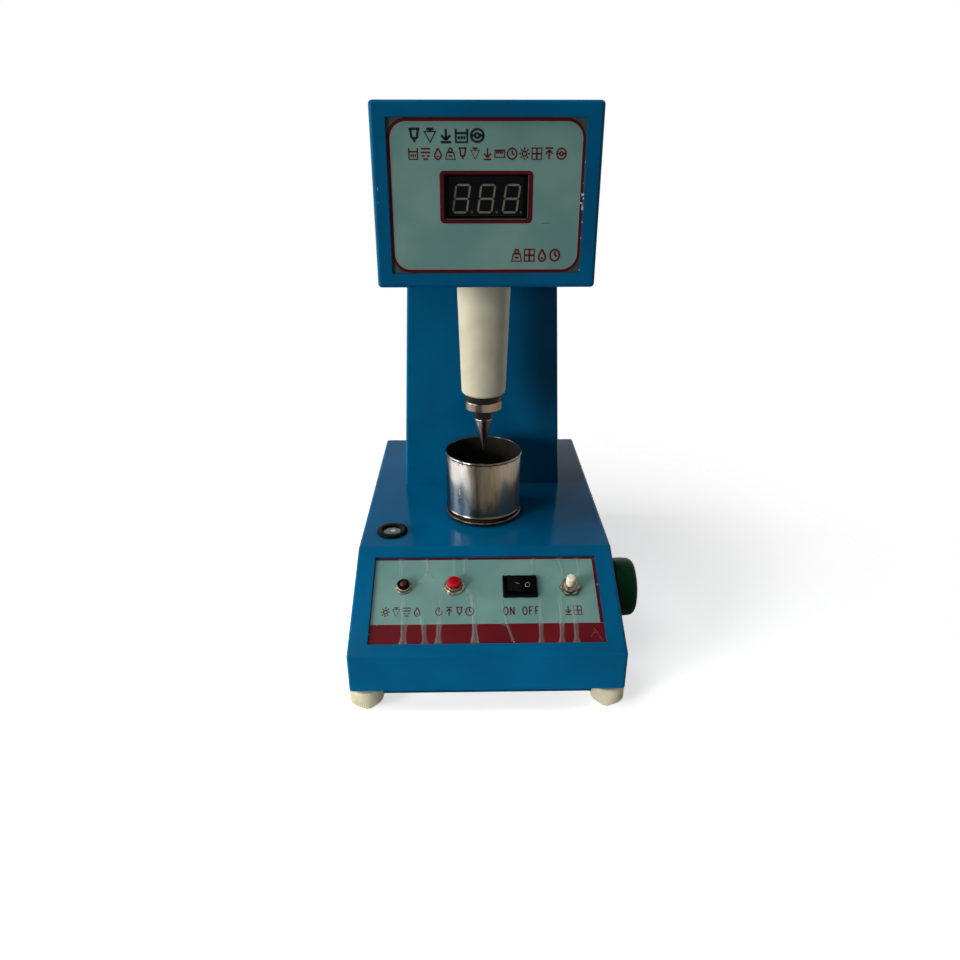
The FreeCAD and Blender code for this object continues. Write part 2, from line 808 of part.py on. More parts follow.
def reset_button_parts():
    """Round push button: chrome case with a closed floor, and a red cap."""
    bore = S.reset_cap_radius + S.hole_gap / 2
    floor = -S.button_depth + S.case_floor
    points = [(ZERO, -S.button_depth), (S.reset_collar_radius, -S.button_depth),
              (S.reset_collar_radius, ZERO), (S.reset_flange_radius, ZERO),
              (S.reset_flange_radius, S.reset_flange - S.flange_chamfer),
              (S.reset_flange_radius - S.flange_chamfer, S.reset_flange),
              (S.reset_collar_radius, S.reset_flange),
              (S.reset_collar_radius, S.reset_collar), (bore, S.reset_collar),
              (bore, floor), (ZERO, floor)]
    part("reset_case", on_slope(turned("reset_case", points), S.reset_x, S.reset_s, panel_face()))
    cap = button_cap("reset_cap", S.reset_cap_radius, S.reset_cap_top)
    part("reset_cap", on_slope(cap, S.reset_x, S.reset_s, panel_face() - BUTTON_STEM))
    return [panel_nut("reset_nut", S.reset_collar_radius, S.reset_x, S.reset_s)]


def button_cap(name, radius, top):
    """A cap with a chamfered crown, from the foot of its stem."""
    length = top + BUTTON_STEM
    chamfer = S.flange_chamfer
    points = [(ZERO, ZERO), (radius, ZERO), (radius, length - chamfer),
              (radius - chamfer, length), (ZERO, length)]
    return turned(name, points)


def measure_button_parts():
    """Tall push button: hexagon nut on a threaded case, and a white cap."""
    nut = doc.addObject("Part::Prism", "measure_nut_blank")
    nut.Polygon = 6
    bind(nut, "Circumradius", S.measure_nut_flats / root(as_size(3)))
    bind(nut, "Height", S.measure_nut)
    hole = cylinder("measure_nut_bore", S.measure_bush_radius, S.measure_nut * THROUGH,
                    z=-S.measure_nut)
    hexagon = cut("measure_nut", nut, [hole])
    on_slope(hexagon, S.measure_x, S.measure_s, panel_face())
    bore = S.measure_cap_radius + S.hole_gap / 2
    floor = -S.button_depth + S.case_floor
    points = [(ZERO, -S.button_depth), (S.measure_bush_radius, -S.button_depth),
              (S.measure_bush_radius, S.measure_bush), (bore, S.measure_bush),
              (bore, floor), (ZERO, floor)]
    case = turned("measure_case", points)
    part("measure_case", on_slope(case, S.measure_x, S.measure_s, panel_face()))
    back_nut = panel_nut("measure_back_nut", S.measure_bush_radius, S.measure_x, S.measure_s)
    cap = button_cap("measure_cap", S.measure_cap_radius, S.measure_cap_top)
    part("measure_cap", on_slope(cap, S.measure_x, S.measure_s, panel_face() - BUTTON_STEM))
    return [hexagon, back_nut]


def rocker_pivot_height():
    return panel_face() + S.rocker_bezel - S.rocker_pivot_drop


def rocker_parts():
    """Power switch: a bezelled case with two terminals, and its rocking paddle."""
    back = panel_face() - S.rocker_body_height
    bezel = slope_box("rocker_bezel", S.rocker_x - S.rocker_width / 2,
                      S.rocker_s - S.rocker_depth / 2, panel_face(),
                      (S.rocker_width, S.rocker_depth, S.rocker_bezel))
    body = slope_box("rocker_body", S.rocker_x - S.rocker_body_width / 2,
                     S.rocker_s - S.rocker_body_depth / 2, back,
                     (S.rocker_body_width, S.rocker_body_depth, S.rocker_body_height))
    opening_width = S.rocker_width - S.rocker_rim * 2
    opening_depth = S.rocker_depth - S.rocker_rim * 2
    opening = slope_box("rocker_opening", S.rocker_x - opening_width / 2,
                        S.rocker_s - opening_depth / 2, back + S.case_floor,
                        (opening_width, opening_depth, S.rocker_body_height + S.rocker_bezel))
    blank = joined("rocker_blank", [bezel, body])
    bearing = rocker_bearing(opening_depth)
    part("rocker_case", cut("rocker_case", blank, [opening, bearing]))
    terminals = [slope_box(f"rocker_terminal_{side + 1}",
                           S.rocker_x + side * S.rocker_body_width / 4 - S.terminal_width / 2,
                           S.rocker_s - S.terminal_sheet / 2, back - S.terminal_length,
                           (S.terminal_width, S.terminal_sheet, S.terminal_length))
                 for side in LEFT_RIGHT]
    part("rocker_paddle", rocker_paddle(opening_width, opening_depth))
    return terminals


def rocker_bearing(opening_depth):
    """The blind bore across the case that the paddle's pin turns in."""
    length = opening_depth + (S.rocker_pin_reach + S.running * 2) * 2
    bore = cylinder("rocker_bearing", S.rocker_pin_radius + S.running, length)
    return on_slope(bore, S.rocker_x, S.rocker_s - length / 2, rocker_pivot_height(),
                    SLOPE_ANGLE - QUARTER_TURN)


def rocker_paddle(opening_width, opening_depth):
    """The paddle, tipped so that its right half is pressed in."""
    half = opening_width / 2 - S.part_gap
    crown = S.rocker_crown + half * tangent(S.rocker_tilt)
    points = [(-half, -S.rocker_skirt + S.rocker_crown), (ZERO, -S.rocker_skirt),
              (half, -S.rocker_skirt + S.rocker_crown), (half, crown), (ZERO, S.rocker_crown),
              (-half, crown)]
    depth = opening_depth - S.hole_gap * 2
    paddle = extruded("rocker_paddle_blank", "XZ_Plane", points, depth, True)
    place(paddle, axis=Y_AXIS, angle=S.rocker_tilt)
    tipped = joined("rocker_paddle", [paddle, rocker_pin(opening_depth)])
    return on_slope(tipped, S.rocker_x, S.rocker_s, rocker_pivot_height())


def rocker_pin(opening_depth):
    """The paddle's pivot pin, whose ends turn in the case."""
    length = opening_depth + S.rocker_pin_reach * 2
    return back_cylinder("rocker_pin", S.rocker_pin_radius, length, ZERO, -length / 2, ZERO)


def level_parts():
    """Bullseye level let into the base top: black case and domed glass."""
    floor = -S.level_vial_depth
    points = [(ZERO, -S.level_depth), (S.level_barrel_radius, -S.level_depth),
              (S.level_barrel_radius, ZERO), (S.level_flange_radius, ZERO),
              (S.level_flange_radius, S.level_flange - S.flange_chamfer),
              (S.level_flange_radius - S.flange_chamfer, S.level_flange),
              (S.level_vial_radius, S.level_flange),
              (S.level_vial_radius, floor), (ZERO, floor)]
    part("level_case", turned("level_case", points, LEVEL_X, S.level_y, BASE_TOP))
    part("level_vial", cylinder("level_vial", S.level_vial_radius,
                                S.level_vial_depth + S.level_flange / 2,
                                LEVEL_X, S.level_y, BASE_TOP - S.level_vial_depth))


# ----------------------------------------------------------------- column, head
def column_slab(name, inset):
    """The tapered column as a solid, or its hollow drawn in by the sheet."""
    half = S.column_width / 2 - inset
    half_top = S.column_top_width / 2 - inset
    points = [(-half, inset), (half, inset),
              (half_top, S.column_height - inset), (-half_top, S.column_height - inset)]
    slab = extruded(name, "XZ_Plane", points, S.column_depth - inset * 2)
    return place(slab, ZERO, COLUMN_BACK - inset, BASE_TOP)


def column_shell_part():
    slab = column_slab("column_outer", ZERO)
    fillet(slab, S.bend, lambda edge: edge.BoundBox.ZLength > S.sheet.value)
    hollow = column_slab("column_hollow", S.sheet)
    middle = S.column_front + S.column_depth / 2
    tools = [hollow, cylinder("column_cable_way", S.cable_hole,
                              S.column_height + S.sheet * 2, ZERO, middle, BASE_TOP - S.sheet)]
    for index, (x, y) in enumerate(column_screw_places()):
        tools.append(cylinder(f"column_screw_hole_{index}", S.screw_radius,
                              S.column_height + S.sheet * 2, x, y, BASE_TOP - S.sheet))
    return part("column_shell", cut("column_shell", slab, tools))


def head_shell_part():
    rear = COLUMN_BACK - S.sheet
    profile = [(HEAD_FRONT, HEAD_BOTTOM), (rear, HEAD_BOTTOM), (rear, HEAD_TOP),
               (HEAD_FRONT, HEAD_TOP)]
    shell = extruded("head_outer", "YZ_Plane", profile, S.head_width, True)
    front = HEAD_FRONT.value + CLOSE
    fillet(shell, S.bend,
           lambda edge: runs_along(edge, Y_AXIS) or edge.BoundBox.YMax < front)
    inner = [(HEAD_FRONT + S.sheet, HEAD_FLOOR), (rear + S.sheet, HEAD_FLOOR),
             (rear + S.sheet, HEAD_TOP - S.sheet), (HEAD_FRONT + S.sheet, HEAD_TOP - S.sheet)]
    hollow = extruded("head_hollow", "YZ_Plane", inner, S.head_width - S.sheet * 2, True)
    walls = cut("head_walls", shell, [hollow])
    blank = joined("head_blank", [walls] + head_posts(rear))
    return part("head_shell", cut("head_shell", blank, head_openings(rear)))


def cover_screw_places():
    """The (x, z) places of the rear cover's screws."""
    reach_x = S.head_width / 2 - S.cover_inset
    rows = (HEAD_BOTTOM + S.cover_inset, HEAD_TOP - S.cover_inset)
    return [(side * reach_x, z) for z in rows for side in LEFT_RIGHT]


def head_posts(rear):
    """Square posts in the head's back corners that the rear cover screws into."""
    size = S.head_post
    reach_x = S.head_width / 2 - S.sheet / 2
    low_z = HEAD_FLOOR - S.sheet / 2
    high_z = HEAD_TOP - S.sheet / 2 - size
    posts = []
    for level, z in enumerate((low_z, high_z)):
        for side in LEFT_RIGHT:
            x = reach_x - size if side > 0 else -reach_x
            name = f"head_post_{level}_{side + 1}"
            posts.append(box(name, (x, rear - S.head_post_length, z),
                             (size, S.head_post_length, size)))
    return posts


def head_openings(rear):
    through = S.sheet * THROUGH
    tools = [box("label_opening", (-LABEL_LEFT, HEAD_FRONT - S.sheet, LABEL_LOW),
                 (LABEL_LEFT + LABEL_RIGHT, through, LABEL_HIGH - LABEL_LOW))]
    tools.append(cylinder("rod_hole", S.tube_bore, through, z=HEAD_BOTTOM - S.sheet))
    middle = S.column_front + S.column_depth / 2
    tools.append(cylinder("head_cable_hole", S.cable_hole, through, ZERO, middle,
                          HEAD_BOTTOM - S.sheet))
    holes = column_screw_places() + tube_screw_places() + bridge_screw_places()
    for index, (x, y) in enumerate(holes):
        tools.append(cylinder(f"head_floor_hole_{index}", S.screw_radius, through,
                              x, y, HEAD_BOTTOM - S.sheet))
    for index, (x, z) in enumerate(cover_screw_places()):
        tools.append(back_cylinder(f"cover_hole_{index}", S.screw_radius, S.screw_length,
                                   x, rear - S.screw_length + S.sheet, z))
    return tools


def head_cover_part():
    low = (-S.head_width / 2, HEAD_BOTTOM)
    blank = round_sheet("cover_blank", "XZ_Plane", low, (S.head_width, S.head_height),
                        S.sheet, Y_AXIS)
    place(blank, y=COLUMN_BACK)
    tools = [back_cylinder(f"cover_screw_hole_{index}", S.screw_radius, S.sheet * THROUGH,
                           x, COLUMN_BACK - S.sheet * 2, z)
             for index, (x, z) in enumerate(cover_screw_places())]
    return part("head_cover", cut("head_cover", blank, tools))


def back_screw(name, x, y, z):
    """A screw along Y, driven forwards into the work from a face at y."""
    item = pan_screw(name, x, y, z, False)
    return place(item, x, y, z, X_AXIS, -QUARTER_TURN)


def head_label_part():
    """Printed plate behind the opening in the head, with the display window."""
    face = HEAD_FRONT + S.sheet
    margin = S.label_margin
    blank = box("label_blank", (-LABEL_LEFT - margin, face, LABEL_LOW - margin),
                (LABEL_LEFT + LABEL_RIGHT + margin * 2, S.label_sheet,
                 LABEL_HIGH - LABEL_LOW + margin * 2))
    window = box("label_window", (-S.window_left, face - S.label_sheet, HEAD_BOTTOM + S.window_low),
                 (S.window_left + S.window_right, S.label_sheet * THROUGH,
                  S.window_high - S.window_low))
    return part("head_label", cut("head_label", blank, [window]))


def display_centre():
    x = (S.window_right - S.window_left) / 2
    z = HEAD_BOTTOM + (S.window_low + S.window_high) / 2
    return x, z


def board_face():
    """Front of the display's circuit board."""
    return HEAD_FRONT + S.display_setback + S.display_depth


def display_parts():
    """Three-digit module on its circuit board, held off the label by spacers."""
    x, z = display_centre()
    part("display_module", box("display_module",
                               (x - S.display_width / 2, HEAD_FRONT + S.display_setback,
                                z - S.display_height / 2),
                               (S.display_width, S.display_depth, S.display_height)))
    part("display_board", box("display_board",
                              (x - S.board_width / 2, board_face(), z - S.board_height / 2),
                              (S.board_width, S.board_sheet, S.board_height)))
    back_of_label = HEAD_FRONT + S.sheet + S.label_sheet
    reach_x = S.board_width / 2 - S.spacer_inset
    reach_z = S.board_height / 2 - S.spacer_inset
    spacers = [back_cylinder(f"display_spacer_{across + 1}_{up + 1}", S.spacer_radius,
                             board_face() - back_of_label,
                             x + across * reach_x, back_of_label, z + up * reach_z)
               for across in LEFT_RIGHT for up in LEFT_RIGHT]
    return spacers


# -------------------------------------------------------- guide tube and plunger
def tube_screw_places():
    """Three screws into the guide tube's upper end, on a circle midway in its wall."""
    reach = (S.tube_bore + S.tube_top_radius) / 2
    return [(reach * cosine(as_size(angle)), reach * sine(as_size(angle)))
            for angle in TUBE_SCREW_ANGLES]


def guide_tube_part():
    length = HEAD_BOTTOM - TUBE_BOTTOM
    bore = S.tube_bore
    passage = S.rod_radius + S.hole_gap * 2
    points = [(passage, ZERO), (S.tube_radius, ZERO), (S.tube_top_radius, length),
              (bore, length), (bore, S.tube_floor), (passage, S.tube_floor)]
    tube = turned("guide_tube_blank", points)
    fillet(tube, S.tube_edge, lambda edge: ring_at(edge, S.tube_radius, ZERO))
    place(tube, z=TUBE_BOTTOM)
    holes = [cylinder(f"tube_screw_hole_{index}", S.screw_radius, S.screw_length * 2,
                      x, y, HEAD_BOTTOM - S.screw_length)
             for index, (x, y) in enumerate(tube_screw_places())]
    return part("guide_tube", cut("guide_tube", tube, holes))


def rod_bushes():
    """Two bronze bushes pressed in the tube that the rod slides in."""
    bore = S.rod_radius + S.running
    points = [(bore, ZERO), (S.tube_bore, ZERO), (S.tube_bore, S.bush_length),
              (bore, S.bush_length)]
    bottom = TUBE_BOTTOM + S.tube_floor
    bushes = [turned("rod_bush_lower", points, z=bottom),
              turned("rod_bush_upper", points, z=bottom + S.upper_bush)]
    return bushes


def plunger_parts():
    """The falling set: cone, collar, ring weight, insulating disc, rod, armature."""
    tip = BASE_TOP + S.cone_tip
    top_radius = S.cone_length * tangent(S.cone_half_angle)
    part("penetration_cone", turned("penetration_cone",
                                    [(ZERO, ZERO), (top_radius, S.cone_length),
                                     (ZERO, S.cone_length)], z=tip))
    collar = tip + S.cone_length
    ring = collar + S.collar_length
    disc = ring + S.ring_length
    part("cone_collar", bored("cone_collar", top_radius, S.collar_length, collar))
    part("ring_weight", bored("ring_weight", S.ring_radius, S.ring_length, ring))
    part("insulating_disc", bored("insulating_disc", S.disc_radius, S.disc_length, disc))
    part("plunger_rod", cylinder("plunger_rod", S.rod_radius, ROD_HEAD - collar, z=collar))
    part("armature", cylinder("armature", S.armature_radius, S.armature_length, z=ROD_HEAD))


def bored(name, radius, length, z):
    """A chamfered disc with the rod's hole through it."""
    chamfer = S.turned_chamfer
    points = [(S.rod_radius, ZERO), (radius - chamfer, ZERO), (radius, chamfer),
              (radius, length - chamfer), (radius - chamfer, length), (S.rod_radius, length)]
    return turned(name, points, z=z)


def sensor_arm_part():
    """Arm clamped on the rod that carries the displacement sensor's slider."""
    bottom = ARM_BOTTOM
    clamp = cylinder("arm_clamp", S.arm_clamp_radius, S.arm_height, z=bottom)
    reach = S.sensor_front + S.sensor_slot_depth - S.part_gap * 2
    blade = box("arm_blade", (-S.arm_width / 2, S.rod_radius, bottom),
                (S.arm_width, reach - S.rod_radius, S.arm_height))
    bore = cylinder("arm_bore", S.rod_radius, S.arm_height * THROUGH, z=bottom - S.arm_height)
    blank = joined("arm_blank", [clamp, blade])
    return part("sensor_arm", cut("sensor_arm", blank, [bore]))


def sensor_body_part():
    """Slotted sensor housing behind the rod, standing on the head's floor."""
    housing = box("sensor_housing", (-S.sensor_width / 2, S.sensor_front, HEAD_FLOOR),
                  (S.sensor_width, S.sensor_depth, S.sensor_height))
    slot = box("sensor_slot", (-S.sensor_slot / 2, S.sensor_front - S.sheet,
                               HEAD_FLOOR + S.sensor_foot),
               (S.sensor_slot, S.sensor_slot_depth + S.sheet,
                S.sensor_height))
    return part("sensor_body", cut("sensor_body", housing, [slot]))


def magnet_bottom():
    return ROD_HEAD + S.armature_length + S.magnet_gap


def electromagnet_parts():
    """Pot magnet over the armature: steel pot with centre core, and its winding."""
    crown = S.magnet_length - S.magnet_wall
    inner = S.magnet_radius - S.magnet_wall
    points = [(ZERO, ZERO), (S.magnet_core_radius, ZERO), (S.magnet_core_radius, crown),
              (inner, crown), (inner, ZERO), (S.magnet_radius, ZERO),
              (S.magnet_radius, S.magnet_length), (ZERO, S.magnet_length)]
    part("magnet_pot", turned("magnet_pot", points, z=magnet_bottom()))
    winding = [(S.magnet_core_radius, S.sheet), (inner, S.sheet), (inner, crown),
               (S.magnet_core_radius, crown)]
    part("magnet_coil", turned("magnet_coil", winding, z=magnet_bottom()))


def bridge_screw_places():
    reach = S.bridge_reach + S.bridge_foot / 2
    return [(side * reach, ZERO) for side in LEFT_RIGHT]


def magnet_bridge_part():
    """Folded strap over the rod that hangs the electromagnet."""
    top = magnet_bottom() + S.magnet_length
    thick = S.bridge_sheet
    deck = centred_box("bridge_deck", ZERO, ZERO, top,
                       (S.bridge_reach * 2, S.bridge_width, thick))
    pieces = [deck]
    for side in LEFT_RIGHT:
        leg = S.bridge_reach - thick / 2
        foot = S.bridge_reach + S.bridge_foot / 2 - thick / 2
        pieces.append(centred_box(f"bridge_leg_{side + 1}", side * leg, ZERO, HEAD_FLOOR,
                                  (thick, S.bridge_width, top + thick - HEAD_FLOOR)))
        pieces.append(centred_box(f"bridge_foot_{side + 1}", side * foot, ZERO, HEAD_FLOOR,
                                  (S.bridge_foot + thick, S.bridge_width, thick)))
    below = HEAD_FLOOR - thick
    holes = [cylinder(f"bridge_hole_{index}", S.screw_radius, thick * THROUGH, x, y, below)
             for index, (x, y) in enumerate(bridge_screw_places())]
    blank = joined("bridge_blank", pieces)
    return part("magnet_bridge", cut("magnet_bridge", blank, holes))


# ------------------------------------------------------------ stage, cup and lift
def stage_parts():
    """Specimen stage: a shallow dish, and the post that it stands on."""
    recess = S.cup_foot_radius + S.stage_recess_gap
    seat = S.stage_length - S.stage_recess
    points = [(ZERO, ZERO), (S.stage_radius, ZERO), (S.stage_radius, S.stage_length),
              (recess, S.stage_length), (recess, seat), (ZERO, seat)]
    part("stage_disc", turned("stage_disc", points, z=STAGE_BOTTOM))
    bottom = lift_arm_bottom()
    part("lift_post", cylinder("lift_post", S.post_radius, STAGE_BOTTOM - bottom, z=bottom))


def lift_arm_bottom():
    return UNDERSIDE + S.lift_arm_clear


def pitch_radius():
    return S.module_size * S.pinion_teeth / 2


def tooth_pitch():
    return S.module_size * as_size(math.pi)


def rack_line():
    """Y of the rack's pitch line, behind the pinion."""
    return SHAFT_Y + pitch_radius()


def post_sleeve_part():
    """Flanged guide under the base top that the post slides in."""
    bore = S.post_radius + S.running
    outer = S.post_radius + S.post_sleeve_wall
    points = [(bore, -S.post_sleeve_length), (outer, -S.post_sleeve_length),
              (outer, -S.post_flange), (S.post_flange_radius, -S.post_flange),
              (S.post_flange_radius, ZERO), (bore, ZERO)]
    return part("post_sleeve", turned("post_sleeve", points, z=BASE_TOP - S.sheet))


def lift_arm_part():
    """Arm from the post forwards to the rack."""
    front = rack_line() + S.tooth_dedendum * S.module_size + S.rack_back
    bottom = lift_arm_bottom()
    bar = box("arm_bar", (-S.lift_arm_width / 2, front, bottom),
              (S.lift_arm_width, -front, S.lift_arm_height))
    hub = cylinder("arm_hub", S.post_radius + S.post_sleeve_wall, S.lift_arm_height, z=bottom)
    bore = cylinder("arm_post_bore", S.post_radius, S.lift_arm_height * THROUGH,
                    z=bottom - S.lift_arm_height)
    blank = joined("lift_arm_blank", [bar, hub])
    return part("lift_arm", cut("lift_arm", blank, [bore]))


def tooth_outline(root_reach, tip_reach, half_root, half_tip):
    """One tooth that points along the sketch's second direction."""
    return [(-half_root, root_reach), (half_root, root_reach),
            (half_tip, tip_reach), (-half_tip, tip_reach)]


def tooth_half_widths():
    """Half widths of a tooth at its root and at its tip."""
    pitch_half = tooth_pitch() / 4 - S.tooth_play
    tip = pitch_half * (1 - S.tooth_tip_share)
    return pitch_half * 2 - tip, tip


def rack_part():
    """Upright rack: a bar with straight teeth that point forwards at the pinion."""
    half_root, half_tip = tooth_half_widths()
    body = doc.addObject("PartDesign::Body", "lift_rack")
    count = S.rack_teeth
    length = tooth_pitch() * count
    reach = S.tooth_dedendum * S.module_size
    bar = outline(body, "rack_bar", "YZ_Plane",
                  [(reach, ZERO), (reach + S.rack_back, ZERO),
                   (reach + S.rack_back, length), (reach, length)])
    pad(body, bar, S.lift_arm_width, True)
    first = tooth_pitch() / 2
    tip = -S.tooth_addendum * S.module_size
    tooth = outline(body, "rack_tooth", "YZ_Plane",
                    [(reach, first - half_root), (tip, first - half_tip),
                     (tip, first + half_tip), (reach, first + half_root)])
    teeth = pad(body, tooth, S.pinion_width, True)
    row = body.newObject("PartDesign::LinearPattern", "rack_row")
    row.Originals = [teeth]
    row.Direction = (origin_plane(body, "Z_Axis"), [""])
    bind(row, "Length", tooth_pitch() * (count - 1))
    bind(row, "Occurrences", count)
    body.Tip = row
    doc.recompute()
    bottom = SHAFT_Z - tooth_pitch() * (count - 1)
    return part("lift_rack", place(body, ZERO, rack_line(), bottom))


def pinion_part():
    """Pinion on the knob's shaft; one tooth points straight back at the rack."""
    half_root, half_tip = tooth_half_widths()
    pitch = pitch_radius()
    root_radius = pitch - S.tooth_dedendum * S.module_size
    tip_radius = pitch + S.tooth_addendum * S.module_size
    body = doc.addObject("PartDesign::Body", "pinion_blank")
    hub = body.newObject("PartDesign::AdditiveCylinder", "pinion_hub")
    bind(hub, "Radius", root_radius)
    bind(hub, "Height", S.pinion_width)
    tooth = outline(body, "pinion_tooth", "XY_Plane",
                    tooth_outline(root_radius - S.tooth_play * 2, tip_radius, half_root, half_tip))
    teeth = pad(body, tooth, S.pinion_width)
    circle = body.newObject("PartDesign::PolarPattern", "pinion_circle")
    circle.Originals = [teeth]
    circle.Axis = (origin_plane(body, "Z_Axis"), [""])
    circle.Angle = FULL_TURN
    bind(circle, "Occurrences", S.pinion_teeth)
    body.Tip = circle
    doc.recompute()
    place(body, -S.pinion_width / 2, SHAFT_Y, SHAFT_Z, Y_AXIS, QUARTER_TURN)
    bore = cross_cylinder("pinion_bore", S.shaft_radius, S.pinion_width * THROUGH,
                          -S.pinion_width, SHAFT_Y, SHAFT_Z)
    return part("pinion", cut("pinion", body, [bore]))


def shaft_start():
    """Left end of the knob's shaft, flush with the bracket's outer face."""
    return -S.bracket_reach - S.bracket_sheet


def knob_face():
    """Inner face of the knob, just off the base's side."""
    return S.base_width / 2 + S.knob_gap


def knob_shaft_part():
    end = knob_face() + S.knob_length - S.knob_wall
    return part("knob_shaft", cross_cylinder("knob_shaft", S.shaft_radius, end - shaft_start(),
                                             shaft_start(), SHAFT_Y, SHAFT_Z))


def knob_part():
    """Hand knob: smooth drum with rounded edges, a dished face and a blind bore."""
    length = S.knob_length
    depth = length - S.knob_wall
    dish = length - S.knob_dish
    points = [(S.shaft_radius, ZERO), (S.knob_radius, ZERO), (S.knob_radius, length),
              (S.knob_dish_radius, length), (S.knob_dish_radius - S.knob_dish, dish),
              (ZERO, dish), (ZERO, depth), (S.shaft_radius, depth)]
    knob = turned("lift_knob", points)
    fillet(knob, S.knob_edge, lambda edge: ring_at(edge, S.knob_radius, S.knob_length))
    fillet(knob, S.knob_back_edge, lambda edge: ring_at(edge, S.knob_radius, ZERO))
    return part("lift_knob", place(knob, knob_face(), SHAFT_Y, SHAFT_Z, Y_AXIS, QUARTER_TURN))


def shaft_bush():
    """Flanged bush in the base's right wall."""
    bore = S.shaft_radius + S.running
    flange = S.shaft_bush_flange
    length = flange + S.sheet + S.knob_gap / 2
    points = [(bore, ZERO), (S.shaft_bush_flange_radius, ZERO),
              (S.shaft_bush_flange_radius, flange), (S.shaft_bush_radius, flange),
              (S.shaft_bush_radius, length), (bore, length)]
    bush = turned("shaft_bush", points)
    inner_wall = S.base_width / 2 - S.sheet
    return place(bush, inner_wall - flange, SHAFT_Y, SHAFT_Z, Y_AXIS, QUARTER_TURN)


def shaft_bracket_part():
    """U bracket on the bottom plate that carries the shaft either side of the pinion."""
    sheet = S.bracket_sheet
    crown = SHAFT_Z + S.bracket_crown
    pieces = [centred_box("bracket_base", ZERO, SHAFT_Y, UNDERSIDE,
                          ((S.bracket_reach + sheet) * 2, S.bracket_depth, sheet))]
    for side in LEFT_RIGHT:
        middle = side * (S.bracket_reach + sheet / 2)
        pieces.append(centred_box(f"bracket_cheek_{side + 1}", middle, SHAFT_Y, UNDERSIDE,
                                  (sheet, S.bracket_depth, crown - UNDERSIDE)))
    bore = cross_cylinder("bracket_bore", S.shaft_radius + S.running,
                          (S.bracket_reach + sheet) * 4,
                          -(S.bracket_reach + sheet) * 2, SHAFT_Y, SHAFT_Z)
    blank = joined("bracket_blank", pieces)
    return part("shaft_bracket", cut("shaft_bracket", blank, [bore]))


def cup_part():
    """Specimen cup: thin wall, rolled rim, a bead low down, flat floor on a stepped foot."""
    inner = S.cup_radius - S.cup_wall
    top = S.cup_height
    bead_top = S.cup_foot + S.cup_bead
    points = [(ZERO, ZERO), (S.cup_foot_radius, ZERO), (S.cup_foot_radius, S.cup_foot),
              (S.cup_bead_radius, S.cup_foot), (S.cup_bead_radius, bead_top),
              (S.cup_radius, bead_top), (S.cup_radius, top - S.cup_rim),
              (S.cup_rim_radius, top - S.cup_rim), (S.cup_rim_radius, top), (inner, top),
              (inner, S.cup_foot + S.cup_floor), (ZERO, S.cup_foot + S.cup_floor)]
    return part("specimen_cup", turned("specimen_cup", points, z=CUP_BOTTOM))


# ------------------------------------------------------- electrical parts in base
def inlet_floor():
    return UNDERSIDE + S.inlet_z - S.inlet_height / 2


def inlet_parts():
    """Mains inlet in the back wall: flanged socket, three pins, two screws."""
    middle_z = UNDERSIDE + S.inlet_z
    flange = centred_box("inlet_flange", S.inlet_x, BACK + S.inlet_flange / 2,
                         middle_z - S.inlet_flange_height / 2,
                         (S.inlet_flange_width, S.inlet_flange, S.inlet_flange_height))
    case = box("inlet_case", (S.inlet_x - S.inlet_width / 2, BACK - S.inlet_depth, inlet_floor()),
               (S.inlet_width, S.inlet_depth, S.inlet_height))
    wall = S.inlet_wall
    mouth = box("inlet_mouth", (S.inlet_x - S.inlet_width / 2 + wall,
                                BACK - S.inlet_depth + wall * 2, inlet_floor() + wall),
                (S.inlet_width - wall * 2, S.inlet_depth, S.inlet_height - wall * 2))
    holes = [back_cylinder(f"inlet_flange_hole_{side + 1}", S.screw_radius,
                           S.inlet_flange * THROUGH,
                           S.inlet_x + side * S.inlet_screw_pitch / 2, BACK - S.inlet_flange,
                           middle_z) for side in LEFT_RIGHT]
    blank = joined("inlet_blank", [flange, case])
    part("mains_inlet", cut("mains_inlet", blank, [mouth] + holes))
    pins = []
    for index, (across, up) in enumerate(((-1, -1), (0, 1), (1, -1))):
        x = S.inlet_x + across * S.inlet_pin_pitch - S.inlet_pin_width / 2
        z = middle_z + up * S.inlet_pin_rise - S.inlet_pin_height / 2
        pins.append(box(f"inlet_pin_{index}", (x, BACK - S.inlet_depth + wall * 2, z),
                        (S.inlet_pin_width, S.inlet_pin_length, S.inlet_pin_height)))
    return pins


def fuse_part():
    """Fuse holder beside the inlet: barrel through the wall and a screw cap."""
    points = [(ZERO, -S.fuse_depth), (S.fuse_radius, -S.fuse_depth), (S.fuse_radius, ZERO),
              (S.fuse_cap_radius, ZERO), (S.fuse_cap_radius, S.fuse_cap - S.fuse_chamfer),
              (S.fuse_cap_radius - S.fuse_chamfer, S.fuse_cap), (ZERO, S.fuse_cap)]
    holder = turned("fuse_holder", points)
    return part("fuse_holder", place(holder, S.fuse_x, BACK, UNDERSIDE + S.inlet_z, X_AXIS,
                                     -QUARTER_TURN))


def transformer_parts():
    """Mains transformer on the bottom plate: laminated frame and its winding."""
    x = TRANSFORMER_X
    y = S.transformer_y
    core = centred_box("core_blank", x, y, UNDERSIDE, (S.core_width, S.core_depth, S.core_height))
    limb = S.core_limb
    opening = (S.core_width / 2 - limb * 2, S.core_depth * THROUGH, S.core_height - limb * 2)
    reach = limb + opening[0] / 2
    tools = [centred_box(f"core_window_{side + 1}", x + side * reach, y, UNDERSIDE + limb, opening)
             for side in LEFT_RIGHT]
    part("transformer_core", cut("transformer_core", core, tools))
    wound = centred_box("coil_blank", x, y, UNDERSIDE + limb,
                        (S.core_width - limb * 2, S.core_depth + S.coil_overhang * 2, opening[2]))
    limb_hole = centred_box("coil_limb", x, y, UNDERSIDE, (limb * 2, S.core_depth, S.core_height))
    part("transformer_coil", cut("transformer_coil", wound, [limb_hole]))


